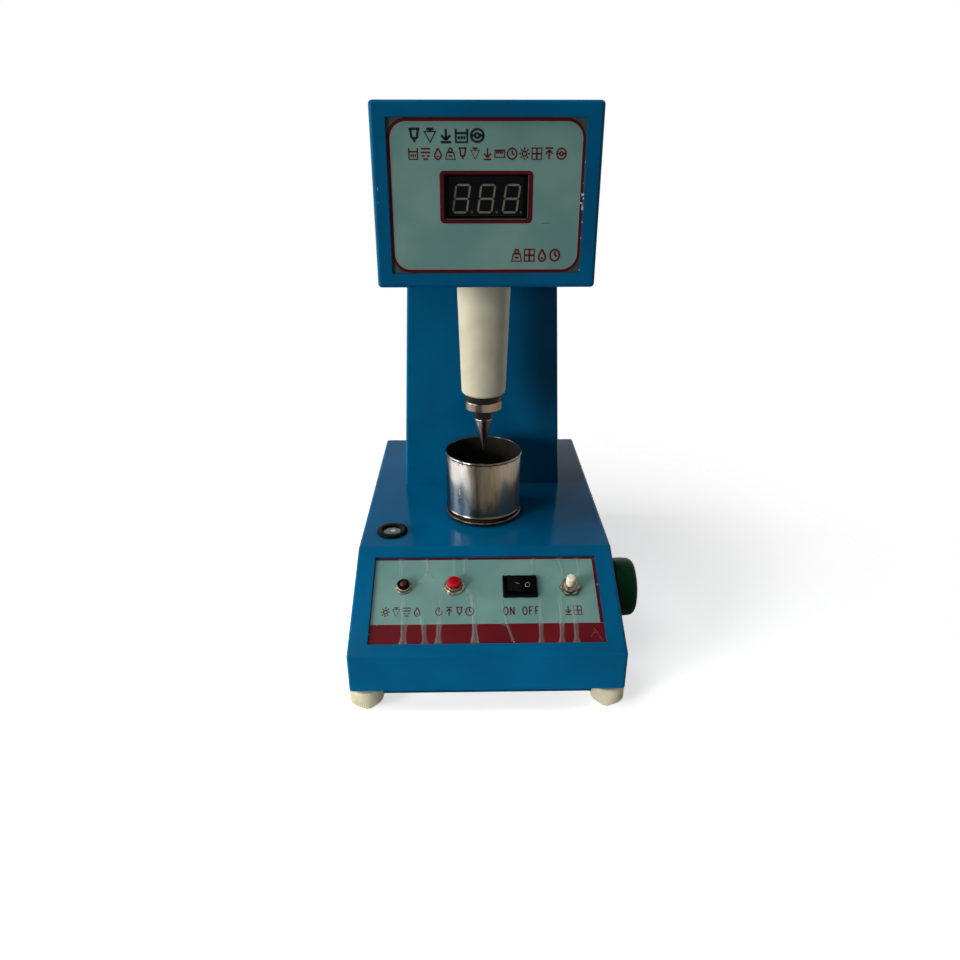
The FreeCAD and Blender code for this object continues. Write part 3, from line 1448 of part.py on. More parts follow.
def main_board_parts():
    """Control board on four spacers over the bottom plate."""
    width = MAIN_BOARD_RIGHT - MAIN_BOARD_LEFT
    x = MAIN_BOARD_LEFT + width / 2
    y = S.main_board_y
    lift = UNDERSIDE + S.main_board_lift
    part("main_board", centred_box("main_board", x, y, lift,
                                   (width, S.main_board_depth, S.board_sheet)))
    reach_x = width / 2 - S.spacer_inset
    reach_y = S.main_board_depth / 2 - S.spacer_inset
    spacers = [cylinder(f"board_spacer_{across + 1}_{back + 1}", S.spacer_radius,
                        S.main_board_lift, x + across * reach_x, y + back * reach_y, UNDERSIDE)
               for across in LEFT_RIGHT for back in LEFT_RIGHT]
    return spacers


# -------------------------------------------------------------------- assembly
def machine_screws_part():
    """All the identical pan-head screws that hold the frame's pieces together."""
    screws = [pan_screw(f"plate_screw_{index}", x, y, UNDERSIDE - S.plate_sheet)
              for index, (x, y) in enumerate(plate_screw_places())]
    for index, (x, y) in enumerate(column_screw_places()):
        screws.append(pan_screw(f"column_foot_screw_{index}", x, y, BASE_TOP - S.sheet))
        screws.append(pan_screw(f"column_head_screw_{index}", x, y, HEAD_FLOOR, False))
    screws += [pan_screw(f"tube_screw_{index}", x, y, HEAD_FLOOR, False)
               for index, (x, y) in enumerate(tube_screw_places())]
    screws += [pan_screw(f"bridge_screw_{index}", x, y, HEAD_FLOOR + S.bridge_sheet, False)
               for index, (x, y) in enumerate(bridge_screw_places())]
    screws += [back_screw(f"cover_screw_{index}", x, COLUMN_BACK, z)
               for index, (x, z) in enumerate(cover_screw_places())]
    screws += [back_screw(f"inlet_screw_{side + 1}", S.inlet_x + side * S.inlet_screw_pitch / 2,
                          BACK + S.inlet_flange, UNDERSIDE + S.inlet_z) for side in LEFT_RIGHT]
    return part("machine_screws", group("machine_screws", screws))


FOOT_NAMES = ("front_left", "front_right", "back_left", "back_right")


def build():
    base_shell_part()
    bottom_plate_part()
    weld_nuts_part()
    for name, (x, y) in zip(FOOT_NAMES, foot_places()):
        foot_stud_part(name, x, y)
        foot_wheel_part(name, x, y)
    control_panel_part()
    nuts = lamp_parts() + reset_button_parts() + measure_button_parts()
    part("panel_nuts", group("panel_nuts", nuts))
    terminals = rocker_parts() + inlet_parts()
    part("terminal_blades", group("terminal_blades", terminals))
    fuse_part()
    transformer_parts()
    level_parts()
    column_shell_part()
    head_shell_part()
    head_cover_part()
    head_label_part()
    spacers = display_parts() + main_board_parts()
    part("board_spacers", group("board_spacers", spacers))
    guide_tube_part()
    part("bushes", group("bushes", rod_bushes() + [shaft_bush()]))
    plunger_parts()
    sensor_arm_part()
    sensor_body_part()
    electromagnet_parts()
    magnet_bridge_part()
    stage_parts()
    cup_part()
    post_sleeve_part()
    lift_arm_part()
    rack_part()
    pinion_part()
    knob_shaft_part()
    knob_part()
    shaft_bracket_part()
    machine_screws_part()
    doc.recompute()


def check():
    """Stop if any object failed, or any piece is empty or not valid."""
    for item in doc.Objects:
        if "Invalid" in item.State or "Error" in item.State:
            raise RuntimeError(f"{item.Label} failed: {item.State}")
    for name, item in PARTS.items():
        if item.Shape.isNull() or not item.Shape.isValid():
            raise RuntimeError(f"{name} has no valid shape")
        if not item.Shape.Solids:
            raise RuntimeError(f"{name} has no solid")


def write():
    os.makedirs("parts", exist_ok=True)
    for name, item in PARTS.items():
        item.Shape.exportStep(os.path.join("parts", f"{name}.step"))


build()
check()
write()
print(len(PARTS), "pieces")
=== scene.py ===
"""Looks of a cone penetrometer for the liquid limit of soil, over its CAD frame.

Pieces are drawn in millimetres in a place of their own (upright, on the slope, on the
head's face) and put into the frame in metres at the end.  X right, Y back, Z up.
"""
import json
from math import atan2, cos, degrees, pi, radians, sin, tan, tau

import bmesh
import bpy
from mathutils import Matrix, Vector

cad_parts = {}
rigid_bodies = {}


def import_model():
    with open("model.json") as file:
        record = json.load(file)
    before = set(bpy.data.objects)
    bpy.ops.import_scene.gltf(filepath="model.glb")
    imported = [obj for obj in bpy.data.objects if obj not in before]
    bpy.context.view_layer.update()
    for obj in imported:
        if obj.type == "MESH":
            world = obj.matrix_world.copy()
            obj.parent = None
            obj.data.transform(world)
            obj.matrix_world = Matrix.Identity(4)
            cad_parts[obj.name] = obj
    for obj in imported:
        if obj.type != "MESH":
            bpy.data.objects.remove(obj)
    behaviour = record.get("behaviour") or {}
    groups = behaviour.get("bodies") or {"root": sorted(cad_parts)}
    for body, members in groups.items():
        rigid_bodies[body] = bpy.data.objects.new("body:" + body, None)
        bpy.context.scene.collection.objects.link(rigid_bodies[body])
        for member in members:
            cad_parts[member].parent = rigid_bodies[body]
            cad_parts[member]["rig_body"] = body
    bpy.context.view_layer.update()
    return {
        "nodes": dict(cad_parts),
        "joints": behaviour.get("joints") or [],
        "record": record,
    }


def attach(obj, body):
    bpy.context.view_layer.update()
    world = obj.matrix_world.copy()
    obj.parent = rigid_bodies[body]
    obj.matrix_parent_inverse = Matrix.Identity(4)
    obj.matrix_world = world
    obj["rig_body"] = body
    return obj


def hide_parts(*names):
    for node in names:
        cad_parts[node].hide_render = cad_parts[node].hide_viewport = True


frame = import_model()

MM = 0.001
FINEST, ROUND, MIDDLING, FINE = 128, 96, 64, 48     # sides of a turned piece, by its width


def shown(name, data):
    """A new object in the scene."""
    item = bpy.data.objects.new(name, data)
    bpy.context.scene.collection.objects.link(item)
    return item


# ---- camera
lens = bpy.data.cameras.new("bench_camera")
lens.lens = 27
lens.sensor_width = 36
camera = shown("bench_camera", lens)
camera.location = (-0.01024, -0.44459, 0.30361)
camera.rotation_euler = (radians(65.07), 0, radians(-1.025))
bpy.context.scene.camera = camera


# ---- places, in mm
def basis(right, up, out):
    """Directions of a place: its own X, Y and Z in the frame."""
    return Matrix((right, up, out)).transposed().to_4x4()


def box_of(points):
    """Lowest and highest corner of some points."""
    return [Vector([pick(point[axis] for point in points) for axis in range(3)])
            for pick in (min, max)]


def spread(node, place=Matrix.Identity(4)):
    """Lowest and highest corner of a CAD node in a place's own directions, in mm."""
    back = place.inverted()
    return box_of([back @ (vertex.co / MM) for vertex in frame["nodes"][node].data.vertices])


press = next(joint for joint in frame["joints"] if joint["name"] == "reset_press")
RIGHT = Vector((1, 0, 0))
OUT = -Vector(press["axis"]).normalized()
UPRIGHT = Matrix.Identity(4)
SLOPE = basis(RIGHT, OUT.cross(RIGHT), OUT)
FACE = basis(RIGHT, (0, 0, 1), (0, -1, 0))
REAR = basis((-1, 0, 0), (0, 0, 1), (0, 1, 0))
SIDE = basis((0, 1, 0), (0, 0, 1), RIGHT)


def at(place, across=0, up=0, out=0):
    """A point of a place as a place of its own."""
    return place @ Matrix.Translation((across, up, out))


def axis_of(node, place=UPRIGHT):
    """Where a turned CAD node's axis starts in a place: its lowest end."""
    low, high = spread(node, place)
    return (low.x + high.x) / 2, (low.y + high.y) / 2, low.z


# ---- shader nodes
def linear(code):
    """An sRGB hex colour as linear numbers."""
    parts = [int(code[place:place + 2], 16) / 255 for place in (1, 3, 5)]
    return [part / 12.92 if part <= 0.04045 else ((part + 0.055) / 1.055) ** 2.4
            for part in parts] + [1]


def add(tree, kind, sockets=None, **settings):
    """Add a node of the tree's own family, or of the one its kind names in full, with its
    settings; a socket takes a value or a link."""
    family = tree.bl_idname.removesuffix("Tree")
    node = tree.nodes.new(kind if "Node" in kind else family + kind)
    for name, value in settings.items():
        setattr(node, name, value)
    for key, value in (sockets or {}).items():
        if isinstance(value, bpy.types.NodeSocket):
            tree.links.new(value, node.inputs[key])
        else:
            node.inputs[key].default_value = value
    return node


def made(*node, **settings):
    """The first output of an added node."""
    return add(*node, **settings).outputs[0]


def own_place(tree):
    """Coordinates that ride with the piece."""
    return add(tree, "TexCoord").outputs["Object"]


def drawn_up(tree, where, share):
    """Coordinates whose patterns are drawn out upright."""
    return made(tree, "Mapping", {"Vector": where, "Scale": (1, 1, share)})


def texture(tree, kind, where, size, output=0, **sockets):
    """A texture whose features are this many mm."""
    return add(tree, f"Tex{kind}", {"Vector": where, "Scale": 1 / (size * MM),
                                    **sockets}).outputs[output]


def ranged(tree, value, start, end, low=0, high=1, **settings):
    """A value taken from one range to another."""
    return made(tree, "MapRange", {"Value": value, "From Min": start, "From Max": end,
                                   "To Min": low, "To Max": high}, **settings)


def mixed(tree, share, first, second, **settings):
    """Two colours, each a link or a hex colour, in shares."""
    first, second = (linear(part) if isinstance(part, str) else part for part in (first, second))
    return add(tree, "Mix", {0: share, 6: first, 7: second}, data_type="RGBA",
               **settings).outputs[2]


def maths(tree, operation, *values):
    return made(tree, "Math", dict(enumerate(values)), operation=operation)


def length(tree, vector):
    return add(tree, "VectorMath", {0: vector}, operation="LENGTH").outputs["Value"]


# ---- materials
def new_finish(name, colour, **sockets):
    """A material with one Principled shader, and that shader's constant sockets."""
    material = bpy.data.materials.new(name)
    material.use_nodes = True
    shader = material.node_tree.nodes["Principled BSDF"]
    shader.inputs["Base Color"].default_value = linear(colour)
    for key, value in sockets.items():
        shader.inputs[key.replace("_", " ")].default_value = value
    return material, material.node_tree, shader


def vary(tree, shader, size, light, dark, detail=3, contrast=(0.35, 0.65)):
    """Drift the base colour between two hex colours over patches of a size in mm."""
    cloud = texture(tree, "Noise", own_place(tree), size, Detail=detail)
    share = ranged(tree, cloud, *contrast)
    tree.links.new(mixed(tree, share, dark, light), shader.inputs["Base Color"])
    return share


def ripple(tree, shader, size, height):
    """Raise the surface by a noise of a size and a height in mm."""
    waves = texture(tree, "Noise", own_place(tree), size, Detail=2)
    raised = made(tree, "Bump", {"Height": waves, "Distance": height * MM, "Strength": 1})
    tree.links.new(raised, shader.inputs["Normal"])


def gloss(tree, shader, driver, low, high):
    """Let the roughness follow a pattern between two values."""
    tree.links.new(ranged(tree, driver, 0, 1, low, high), shader.inputs["Roughness"])


def sprayed_enamel(name, light, dark):
    """Stoving enamel sprayed on sheet steel: glossy, with a faint orange peel, and a
    little duller where hands and cloths have rubbed it."""
    material, tree, shader = new_finish(name, light, Roughness=0.2, IOR=1.3,
                                        Specular_IOR_Level=0.07)
    rubbed = vary(tree, shader, 45, light, dark, contrast=(0.3, 0.7))
    gloss(tree, shader, rubbed, 0.12, 0.2)
    ripple(tree, shader, 2.2, 0.008)
    return material


def printed_film(name, light, dark):
    """Screen-printed polyester film: satin, with the paler drift of old glue below it."""
    material, tree, shader = new_finish(name, light, Roughness=0.42, Specular_IOR_Level=0.08)
    vary(tree, shader, 26, light, dark, detail=2, contrast=(0.38, 0.62))
    ripple(tree, shader, 9, 0.02)
    return material


def plastic(name, colour, worn, rough, size=6, peel=0.01, specular=0.12):
    """A moulded plastic: fine grain of the mould, slight drift of colour."""
    material, tree, shader = new_finish(name, colour, Roughness=rough,
                                        Specular_IOR_Level=specular)
    drift = vary(tree, shader, size, colour, worn)
    gloss(tree, shader, drift, rough * 0.85, rough * 1.2)
    ripple(tree, shader, 0.8, peel)
    return material


def metal(name, light, dark, rough, size, height=0.004):
    """A metal with the faint marks of the tool or the bath that finished it."""
    material, tree, shader = new_finish(name, light, Roughness=rough, Metallic=1)
    marks = vary(tree, shader, size, light, dark, detail=5)
    gloss(tree, shader, marks, rough * 1.5, rough * 0.8)
    ripple(tree, shader, size * 0.5, height)
    return material


# Stains with painted reflections and painted highlights round an upright wall, from its left
# through its front, right and back: how far round (0 to 1), and the colour there.
CUP_STAINS_AND_REFLECTIONS = (
    "0 #8d8b86, 0.05 #3f4143, 0.085 #46484a, 0.115 #fffaf0, 0.185 #fffbf1, 0.22 #8d8375, "
    "0.243 #463f37, 0.262 #6b6153, 0.31 #85775f, 0.345 #a39580, 0.4 #a89b87, 0.45 #8d8271, "
    "0.6 #cfc6b8, 0.66 #7e766a, 0.72 #ddd5c7, 0.82 #b3aa9c, 0.87 #6b645b, 0.93 #c9c1b4, 1 #8d8b86")
WEIGHT_STAINS_AND_REFLECTIONS = (
    "0 #2d2a27, 0.1 #55504a, 0.14 #a39888, 0.19 #8b8174, 0.215 #4b4640, 0.25 #3c3a36, "
    "0.285 #7a7064, 0.34 #8a7a66, 0.385 #86694f, 0.42 #75583f, 0.45 #514a42, 0.5 #26231f, "
    "0.62 #8d8478, 0.74 #4d4740, 0.85 #9a9184, 1 #2d2a27")
CONE_STAINS_AND_REFLECTIONS = (
    "0 #57524a, 0.12 #8d877b, 0.18 #f7f3ea, 0.215 #f0eade, 0.24 #5c564d, 0.285 #2f2a25, "
    "0.33 #857a6b, 0.38 #92867a, 0.44 #3c3731, 0.55 #57524a, 0.75 #b3aca0, 1 #57524a")

CUP_FOOT, CUP_RIM = (corner.z * MM for corner in spread("specimen_cup"))
SHADED_FOOT_TOP = CUP_FOOT + 0.0052   # below it the cup is darkened all round: grime with painted shade at its foot
CUP_INSIDE = 0.02455            # within this radius dried soil dulls it, darkened with painted shade inside the cup


def cup_soiling_and_shade(tree, shader, where, turn, colour):
    """Grime with painted shade at the cup's foot, and pits that die out over the next 20 mm or,
    on its left, run to the top.  Tarnish flecks lie below its rim, and a film of dried soil,
    darkened with painted shade, within."""
    parts = add(tree, "SeparateXYZ", {"Vector": where}).outputs
    pits = ranged(tree, texture(tree, "Voronoi", where, 1.1, "Distance"), 0.12, 0.3)
    kept = maths(tree, "MINIMUM", ranged(tree, parts["Z"], SHADED_FOOT_TOP, SHADED_FOOT_TOP + 0.02),
                 ranged(tree, turn, 0.09, 0.12))
    colour = mixed(tree, maths(tree, "MAXIMUM", pits, kept), "#8a8880", colour)
    # painted shade with grime: the colour turns dark all round below the foot line
    above = ranged(tree, parts["Z"], SHADED_FOOT_TOP - 0.002, SHADED_FOOT_TOP)
    colour = mixed(tree, above, "#332e27", colour)
    flecks = maths(tree, "ADD", texture(tree, "Noise", where, 1.6, Detail=4),
                   ranged(tree, parts["Z"], CUP_RIM - 0.0055, CUP_RIM, -0.35, 0.02))
    colour = mixed(tree, ranged(tree, flecks, 0.34, 0.46, 0, 0.75), colour, "#3a342c")
    flat = made(tree, "CombineXYZ", {"X": parts["X"], "Y": parts["Y"]})
    outside = maths(tree, "GREATER_THAN", length(tree, flat), CUP_INSIDE)
    tree.links.new(outside, shader.inputs["Metallic"])
    # inside the cup: a dull film of dried soil, darkened with painted shade
    return mixed(tree, outside, "#282621", colour)


def metal_with_painted_reflections(name, tarnish_and_reflections, wander_share, rough, soiling_and_shade=None):
    """Turned metal with upright stains round its wall, where wet hands and soil have lain,
    mixed with painted reflections and painted highlights, and fine upright wiping marks;
    grime with painted shade, if any, goes over both."""
    material, tree, shader = new_finish(name, "#808080", Roughness=rough, Metallic=1)
    where = own_place(tree)
    wander = texture(tree, "Noise", drawn_up(tree, where, 0.3), 7, Detail=5)
    turn = add(tree, "TexGradient", {"Vector": where}, gradient_type="RADIAL").outputs["Fac"]
    shifted = maths(tree, "MULTIPLY_ADD", wander, wander_share, turn)
    tarnish_and_reflection = add(tree, "ValToRGB", {"Fac": shifted})
    stops = tarnish_and_reflection.color_ramp.elements
    for place, colour in (entry.split() for entry in tarnish_and_reflections.split(",")):
        stop = {"0": stops[0], "1": stops[-1]}.get(place) or stops.new(float(place))
        stop.color = linear(colour)
    wiped = texture(tree, "Noise", drawn_up(tree, where, 0.06), 0.9, Detail=3)
    colour = mixed(tree, 1, tarnish_and_reflection.outputs[0], ranged(tree, wiped, 0.3, 0.7, 0.82, 1),
                   blend_type="MULTIPLY")
    if soiling_and_shade:
        colour = soiling_and_shade(tree, shader, where, shifted, colour)
    tree.links.new(colour, shader.inputs["Base Color"])
    gloss(tree, shader, wiped, rough * 1.3, rough * 0.7)
    return material


def clear_film_painted_sheen():
    """Air channels under the clear overlay: a faint pale painted sheen that dies out at the rims.
    """
    material, tree, shader = new_finish("clear_film_painted_sheen", "#b3c9c2", Roughness=0.3,
                                        Specular_IOR_Level=0.2)
    rim = add(tree, "Attribute", attribute_name="ridge").outputs["Fac"]
    patch = texture(tree, "Noise", own_place(tree), 12, Detail=1)
    alpha = maths(tree, "MULTIPLY", rim, ranged(tree, patch, 0.35, 0.65, 0.2, 0.32))
    tree.links.new(alpha, shader.inputs["Alpha"])
    return material


def clear_acrylic():
    """Cast acrylic: the lid of the level, clear and polished."""
    material, tree, shader = new_finish("clear_acrylic", "#e4efe6", Roughness=0.03, IOR=1.49,
                                        Transmission_Weight=1)
    vary(tree, shader, 4, "#e9f2ea", "#dbe8dc")
    return material


FINISHES = {
    "level_glass": clear_acrylic(),
    # These metals' stain ramps are partly painted reflections; their palest bands are painted
    # highlights.
    "polished_steel": metal_with_painted_reflections("ground_steel_with_painted_reflections", CONE_STAINS_AND_REFLECTIONS, 0.03, 0.3),
    "steel_tarnish_and_reflections": metal_with_painted_reflections("turned_steel_with_painted_reflections", WEIGHT_STAINS_AND_REFLECTIONS, 0.06, 0.24),
    "nickel_cup": metal_with_painted_reflections("spun_nickel_with_painted_reflections", CUP_STAINS_AND_REFLECTIONS, 0.045, 0.2, cup_soiling_and_shade),
    "ridge": clear_film_painted_sheen(),
}
# Maker, what the pieces call it, name, light and dark colour, and the maker's numbers: for
# a metal or a plastic its roughness, patches and relief, then a plastic's mirror-like share.
TABLE = """
enamel blue_enamel sprayed_blue_enamel #005f8b #00547c
film printed_label printed_polyester_film #759c92 #69918b
metal galvanised_sheet zinc_plated_sheet #9b9c9a #7f817f 0.35 7
metal bright_chrome bright_nickel_plate #a39c90 #6f685d 0.16 2 0.002
plastic red_lens dark_red_acrylic #5c0610 #43050c 0.08 3 0.002
plastic red_plastic red_abs #b3061b #9c0517 0.2 3 0.002
plastic ivory_plastic ivory_urea #f2e9cf #e2d8bc 0.25 3 0.003
plastic black_plastic black_nylon #08090b #0e0f11 0.33 5 0.006
plastic circuit_board glass_epoxy_board #123322 #0e2a1c 0.5 4
metal brass turned_brass #c3a15a #a28242 0.3 1.2
metal bronze sintered_bronze #9b7444 #7c5a33 0.5 0.8 0.02
plastic ivory_tube ivory_nylon_tube #d6cfb6 #ccc4a9 0.38 14 0.006
metal machined_steel turned_mild_steel #8f8f8d #6f6f6d 0.3 1 0.01
plastic copper_winding taped_copper_winding #8a4d25 #6d3a1b 0.5 1 0.05
plastic green_plastic dark_green_abs #04351b #032814 0.42 10 0.006 0.04
plastic cream_nylon cream_nylon #dbd4bb #cbc3a6 0.5 5 0.02
enamel thin_enamel thin_blue_enamel #00405f #003853
metal soiled_chrome soiled_nickel_plate #8d8172 #4f463b 0.2 1.4 0.002
metal tarnished_steel tarnished_turned_steel #4d443a #2b251f 0.3 2.5
plastic switch_black black_polycarbonate #030304 #060607 0.24 4 0.002 0.04
plastic smoked smoked_display_resin #07090d #090c10 0.25 4 0.002 0.04
film dark_red dark_red_screen_ink #640f18 #5b0c14
film sign_red brown_red_screen_ink #551018 #4c0d14
film border_red maroon_screen_ink #530916 #490712
film keyline pale_screen_ink #8f9c98 #858f8c
film scratch scratched_ink #8f4a50 #81454a
plastic black black_screen_ink #0b0c0c #101111 0.45
film corner shaded_film_corner #3a5a55 #304d48
plastic segment unlit_segment_resin #7f7667 #70685a 0.4 3 0.002
plastic pale_mark pale_marking_ink #9fa19c #8b8d88 0.5 3 0.002
plastic spirit level_spirit #566257 #414c43 0.1 5 0
plastic bubble air_bubble #b9c4b6 #a9b5a8 0.05 3 0
plastic bare bare_primer_fleck #dfe5e6 #c3cbce 0.5 1 0.002
plastic display_edge display_edge_resin #16212b #111a22 0.3
plastic point unlit_point_resin #4d4a44 #45423c 0.35
"""
MAKERS = {"enamel": sprayed_enamel, "film": printed_film, "metal": metal, "plastic": plastic}
for line in TABLE.split("\n")[1:-1]:
    maker, key, name, light, dark, *numbers = line.split()
    FINISHES[key] = MAKERS[maker](name, light, dark, *map(float, numbers))
for row in frame["record"]["subparts"]:
    slots = frame["nodes"][row["node"]].data.materials
    slots.clear()
    slots.append(FINISHES[row["material_slot"]])


# ---- shape makers
def polar(radius, angle):
    return radius * cos(angle), radius * sin(angle)


def points_of(text):
    """Points from text: spaces between a point's numbers, commas between the points."""
    return [tuple(map(float, point.split())) for point in text.split(",")]


def row_of(mesh, points, height):
    """New corners of a mesh at one height."""
    return [mesh.verts.new((across, up, height)) for across, up in points]


def bridge(mesh, rows, ring=False, rim=True):
    """Faces from each row of corners to the next, and from the last to the first in a
    ring; rim closes each row on itself.  A row of one corner is a tip."""
    for first, second in zip(rows, rows[1:] + rows[:1] if ring else rows[1:]):
        count = max(len(first), len(second))
        for index in range(count if rim else count - 1):
            ahead = (index + 1) % count
            corners = list(dict.fromkeys((
                first[index % len(first)], first[ahead % len(first)],
                second[ahead % len(second)], second[index % len(second)])))
            if len(corners) > 2:
                mesh.faces.new(corners)


def softened(profile, soft, loops):
    """Round the corners of a profile; a third number is a corner's own radius."""
    points = []
    last = len(profile) - 1
    for index, corner in enumerate(profile):
        here = Vector(corner[:2])
        if not loops and index in (0, last):
            points.append(here)
            continue
        before = Vector(profile[index - 1][:2]) - here
        after = Vector(profile[(index + 1) % len(profile)][:2]) - here
        radius = corner[2] if len(corner) > 2 else soft
        reach = min(radius, before.length * 0.49, after.length * 0.49)
        start = here + before.normalized() * reach
        end = here + after.normalized() * reach
        steps = 7 if radius > 1 else 4
        for step in range(steps + 1):
            share = step / steps
            points.append(start * (1 - share) ** 2 + here * 2 * share * (1 - share)
                          + end * share ** 2)
    return points


def lathe(profile, soft=0.25, sides=ROUND):
    """A turned shape about Z from points of a radius, a height and perhaps the corner's
    own radius.  A profile with neither end on the axis closes on itself."""
    if isinstance(profile, str):
        profile = points_of(profile)
    loops = profile[0][0] > 0 and profile[-1][0] > 0
    mesh = bmesh.new()
    rows = [row_of(mesh, [polar(radius, tau * turn / sides)
                          for turn in range(sides if radius > 1e-6 else 1)], height)
            for radius, height in softened(profile, soft, loops)]
    bridge(mesh, rows, loops)
    return mesh


def prism(outline, low, high):
    """An outline of (across, up) points drawn out between two heights."""
    mesh = bmesh.new()
    ends = [row_of(mesh, outline, height) for height in (low, high)]
    for end in ends:
        mesh.faces.new(end)
    bridge(mesh, ends)
    return mesh


def hollow(*levels):
    """A ring through outlines with the same number of points, each at its height."""
    mesh = bmesh.new()
    bridge(mesh, [row_of(mesh, outline, height) for outline, height in levels], ring=True)
    return mesh


def band(outer, inner, low, high):
    """The flat ring between two outlines."""
    return hollow((outer, low), (outer, high), (inner, high), (inner, low))


def slab(low, high, soft):
    """A block between two corners with rounded edges."""
    mesh = bmesh.new()
    bmesh.ops.create_cube(mesh, size=1)
    for corner in mesh.verts:
        corner.co = Vector(min(pair) if side < 0 else max(pair)
                           for pair, side in zip(zip(low, high), corner.co))
    bmesh.ops.bevel(mesh, geom=list(mesh.edges), offset=soft, segments=3, profile=0.5,
                    affect="EDGES")
    return mesh


def rect(left, low, right, high):
    """Outline of a rectangle."""
    return [(left, low), (right, low), (right, high), (left, high)]


def round_box(left, low, right, high, radius, steps=8):
    """Outline of a rectangle with rounded corners."""
    points = []
    centres = ((right - radius, high - radius), (left + radius, high - radius),
               (left + radius, low + radius), (right - radius, low + radius))
    for quarter, (across, up) in enumerate(centres):
        for step in range(steps + 1):
            x, y = polar(radius, pi / 2 * (quarter + step / steps))
            points.append((across + x, up + y))
    return points


def grown_outline(outline, by):
    """An outline of a rounded box pushed out or in along both axes."""
    across, up = zip(*outline)
    middle = ((min(across) + max(across)) / 2, (min(up) + max(up)) / 2)
    wide, tall = max(across) - min(across), max(up) - min(up)
    return [(middle[0] + (x - middle[0]) * (1 + 2 * by / wide),
             middle[1] + (y - middle[1]) * (1 + 2 * by / tall)) for x, y in outline]


# ---- pieces
def body_of(node):
    return frame["nodes"][node]["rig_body"]


def merged(node):
    """A CAD node's own shape, in metres, joined at its seams."""
    mesh = bmesh.new()
    mesh.from_mesh(frame["nodes"][node].data)
    bmesh.ops.remove_doubles(mesh, verts=mesh.verts, dist=1e-6)
    return mesh


def kept(name, mesh):
    """A shape as data for an object."""
    data = bpy.data.meshes.new(name)
    mesh.to_mesh(data)
    mesh.free()
    return data


def settle(item):
    """Turn an object with its modifiers into a plain mesh."""
    bpy.context.view_layer.update()
    evaluated = item.evaluated_get(bpy.context.evaluated_depsgraph_get())
    plain = bpy.data.meshes.new_from_object(evaluated)
    item.modifiers.clear()
    item.data = plain


def dressed(name, whole, place, finish, slot=None, body="frame", stands_for=(), smooth=30):
    """Place a mesh in the frame, give it its finish, hang it on its body and hide the CAD nodes it
    stands for.
    """
    whole.transform(Matrix.Scale(MM, 4) @ place)
    whole.materials.clear()
    whole.materials.append(FINISHES[finish])
    whole.shade_smooth()
    whole.set_sharp_from_angle(angle=radians(smooth))
    item = shown(name, whole)
    even = item.modifiers.new("even_shading", "WEIGHTED_NORMAL")
    even.keep_sharp = True
    settle(item)
    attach(item, body)
    if stands_for:
        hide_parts(*stands_for)


def solid_outwards(mesh):
    bmesh.ops.recalc_face_normals(mesh, faces=mesh.faces)


def sheet_outwards(mesh):
    mesh.normal_update()
    if sum(face.normal.z for face in mesh.faces) < 0:
        bmesh.ops.reverse_faces(mesh, faces=mesh.faces)


def piece(name, meshes, place, finish, slot="printed_label", turn=solid_outwards, **worn):
    """Turn shapes in mm into one finished object that rides on a body."""
    gathered = bmesh.new()
    for mesh in meshes if isinstance(meshes, list) else [meshes]:
        turn(mesh)
        part = kept("part", mesh)
        gathered.from_mesh(part)
        bpy.data.meshes.remove(part)
    dressed(name, kept(name, gathered), place, finish, slot, **worn)


def standing_for(node, meshes, place, slot, finish=None, smooth=30):
    """A detailed piece in the place of one CAD node."""
    piece(f"{node}_detail", meshes, place, finish or slot, slot, body=body_of(node),
          stands_for=(node,), smooth=smooth)


def turned(node, place, slot, profile, finish=None, smooth=30, **lathed):
    """A turned piece in the place of one CAD node."""
    standing_for(node, lathe(profile, **lathed), place, slot, finish, smooth)


def skin_of(node, slot, finish=None):
    """A CAD node's own shape, evenly shaded."""
    dressed(f"{node}_skin", kept(node, merged(node)), Matrix.Scale(1 / MM, 4), finish or slot,
            slot, body_of(node), (node,), 25)


# ---- geometry nodes
def new_tree(name, inputs):
    """A geometry tree with a geometry socket each way and named inputs."""
    tree = bpy.data.node_groups.new(name, "GeometryNodeTree")
    tree.interface.new_socket("Geometry", in_out="INPUT", socket_type="NodeSocketGeometry")
    for label, kind in inputs.items():
        tree.interface.new_socket(label, in_out="INPUT", socket_type=f"NodeSocket{kind}")
    tree.interface.new_socket("Geometry", in_out="OUTPUT", socket_type="NodeSocketGeometry")
    return tree, add(tree, "NodeGroupInput").outputs


def end_tree(tree, geometry, finish):
    """Close a tree: real geometry with its material."""
    real = made(tree, "RealizeInstances", {"Geometry": geometry})
    painted = made(tree, "SetMaterial", {"Geometry": real, "Material": finish})
    add(tree, "NodeGroupOutput", {"Geometry": painted})
    return tree


def grow(name, seed_mesh, tree, settings):
    """Run a tree on a seed mesh and keep the result as a plain mesh."""
    seed = shown(name, seed_mesh)
    modifier = seed.modifiers.new(name, "NODES")
    modifier.node_group = tree
    for socket in tree.interface.items_tree:
        if socket.in_out == "INPUT" and socket.name in settings:
            modifier[socket.identifier] = settings[socket.name]
    settle(seed)
    grown = seed.data
    bpy.data.objects.remove(seed)
    return grown


def ink_line_tree():
    """Flat strokes of one width along every line of the seed."""
    tree, given = new_tree("ink_lines", {"Line width": "Float", "Ink height": "Float",
                                         "Ink": "Material"})
    lines = made(tree, "MeshToCurve", {"Mesh": given["Geometry"]})
    level = made(tree, "SetCurveNormal", {"Curve": lines}, mode="Z_UP")
    nib = made(tree, "CurvePrimitiveQuadrilateral", {"Width": given["Line width"],
                                                     "Height": given["Ink height"]})
    drawn = made(tree, "CurveToMesh", {"Curve": level, "Profile Curve": nib, "Fill Caps": True})
    return end_tree(tree, drawn, given["Ink"])


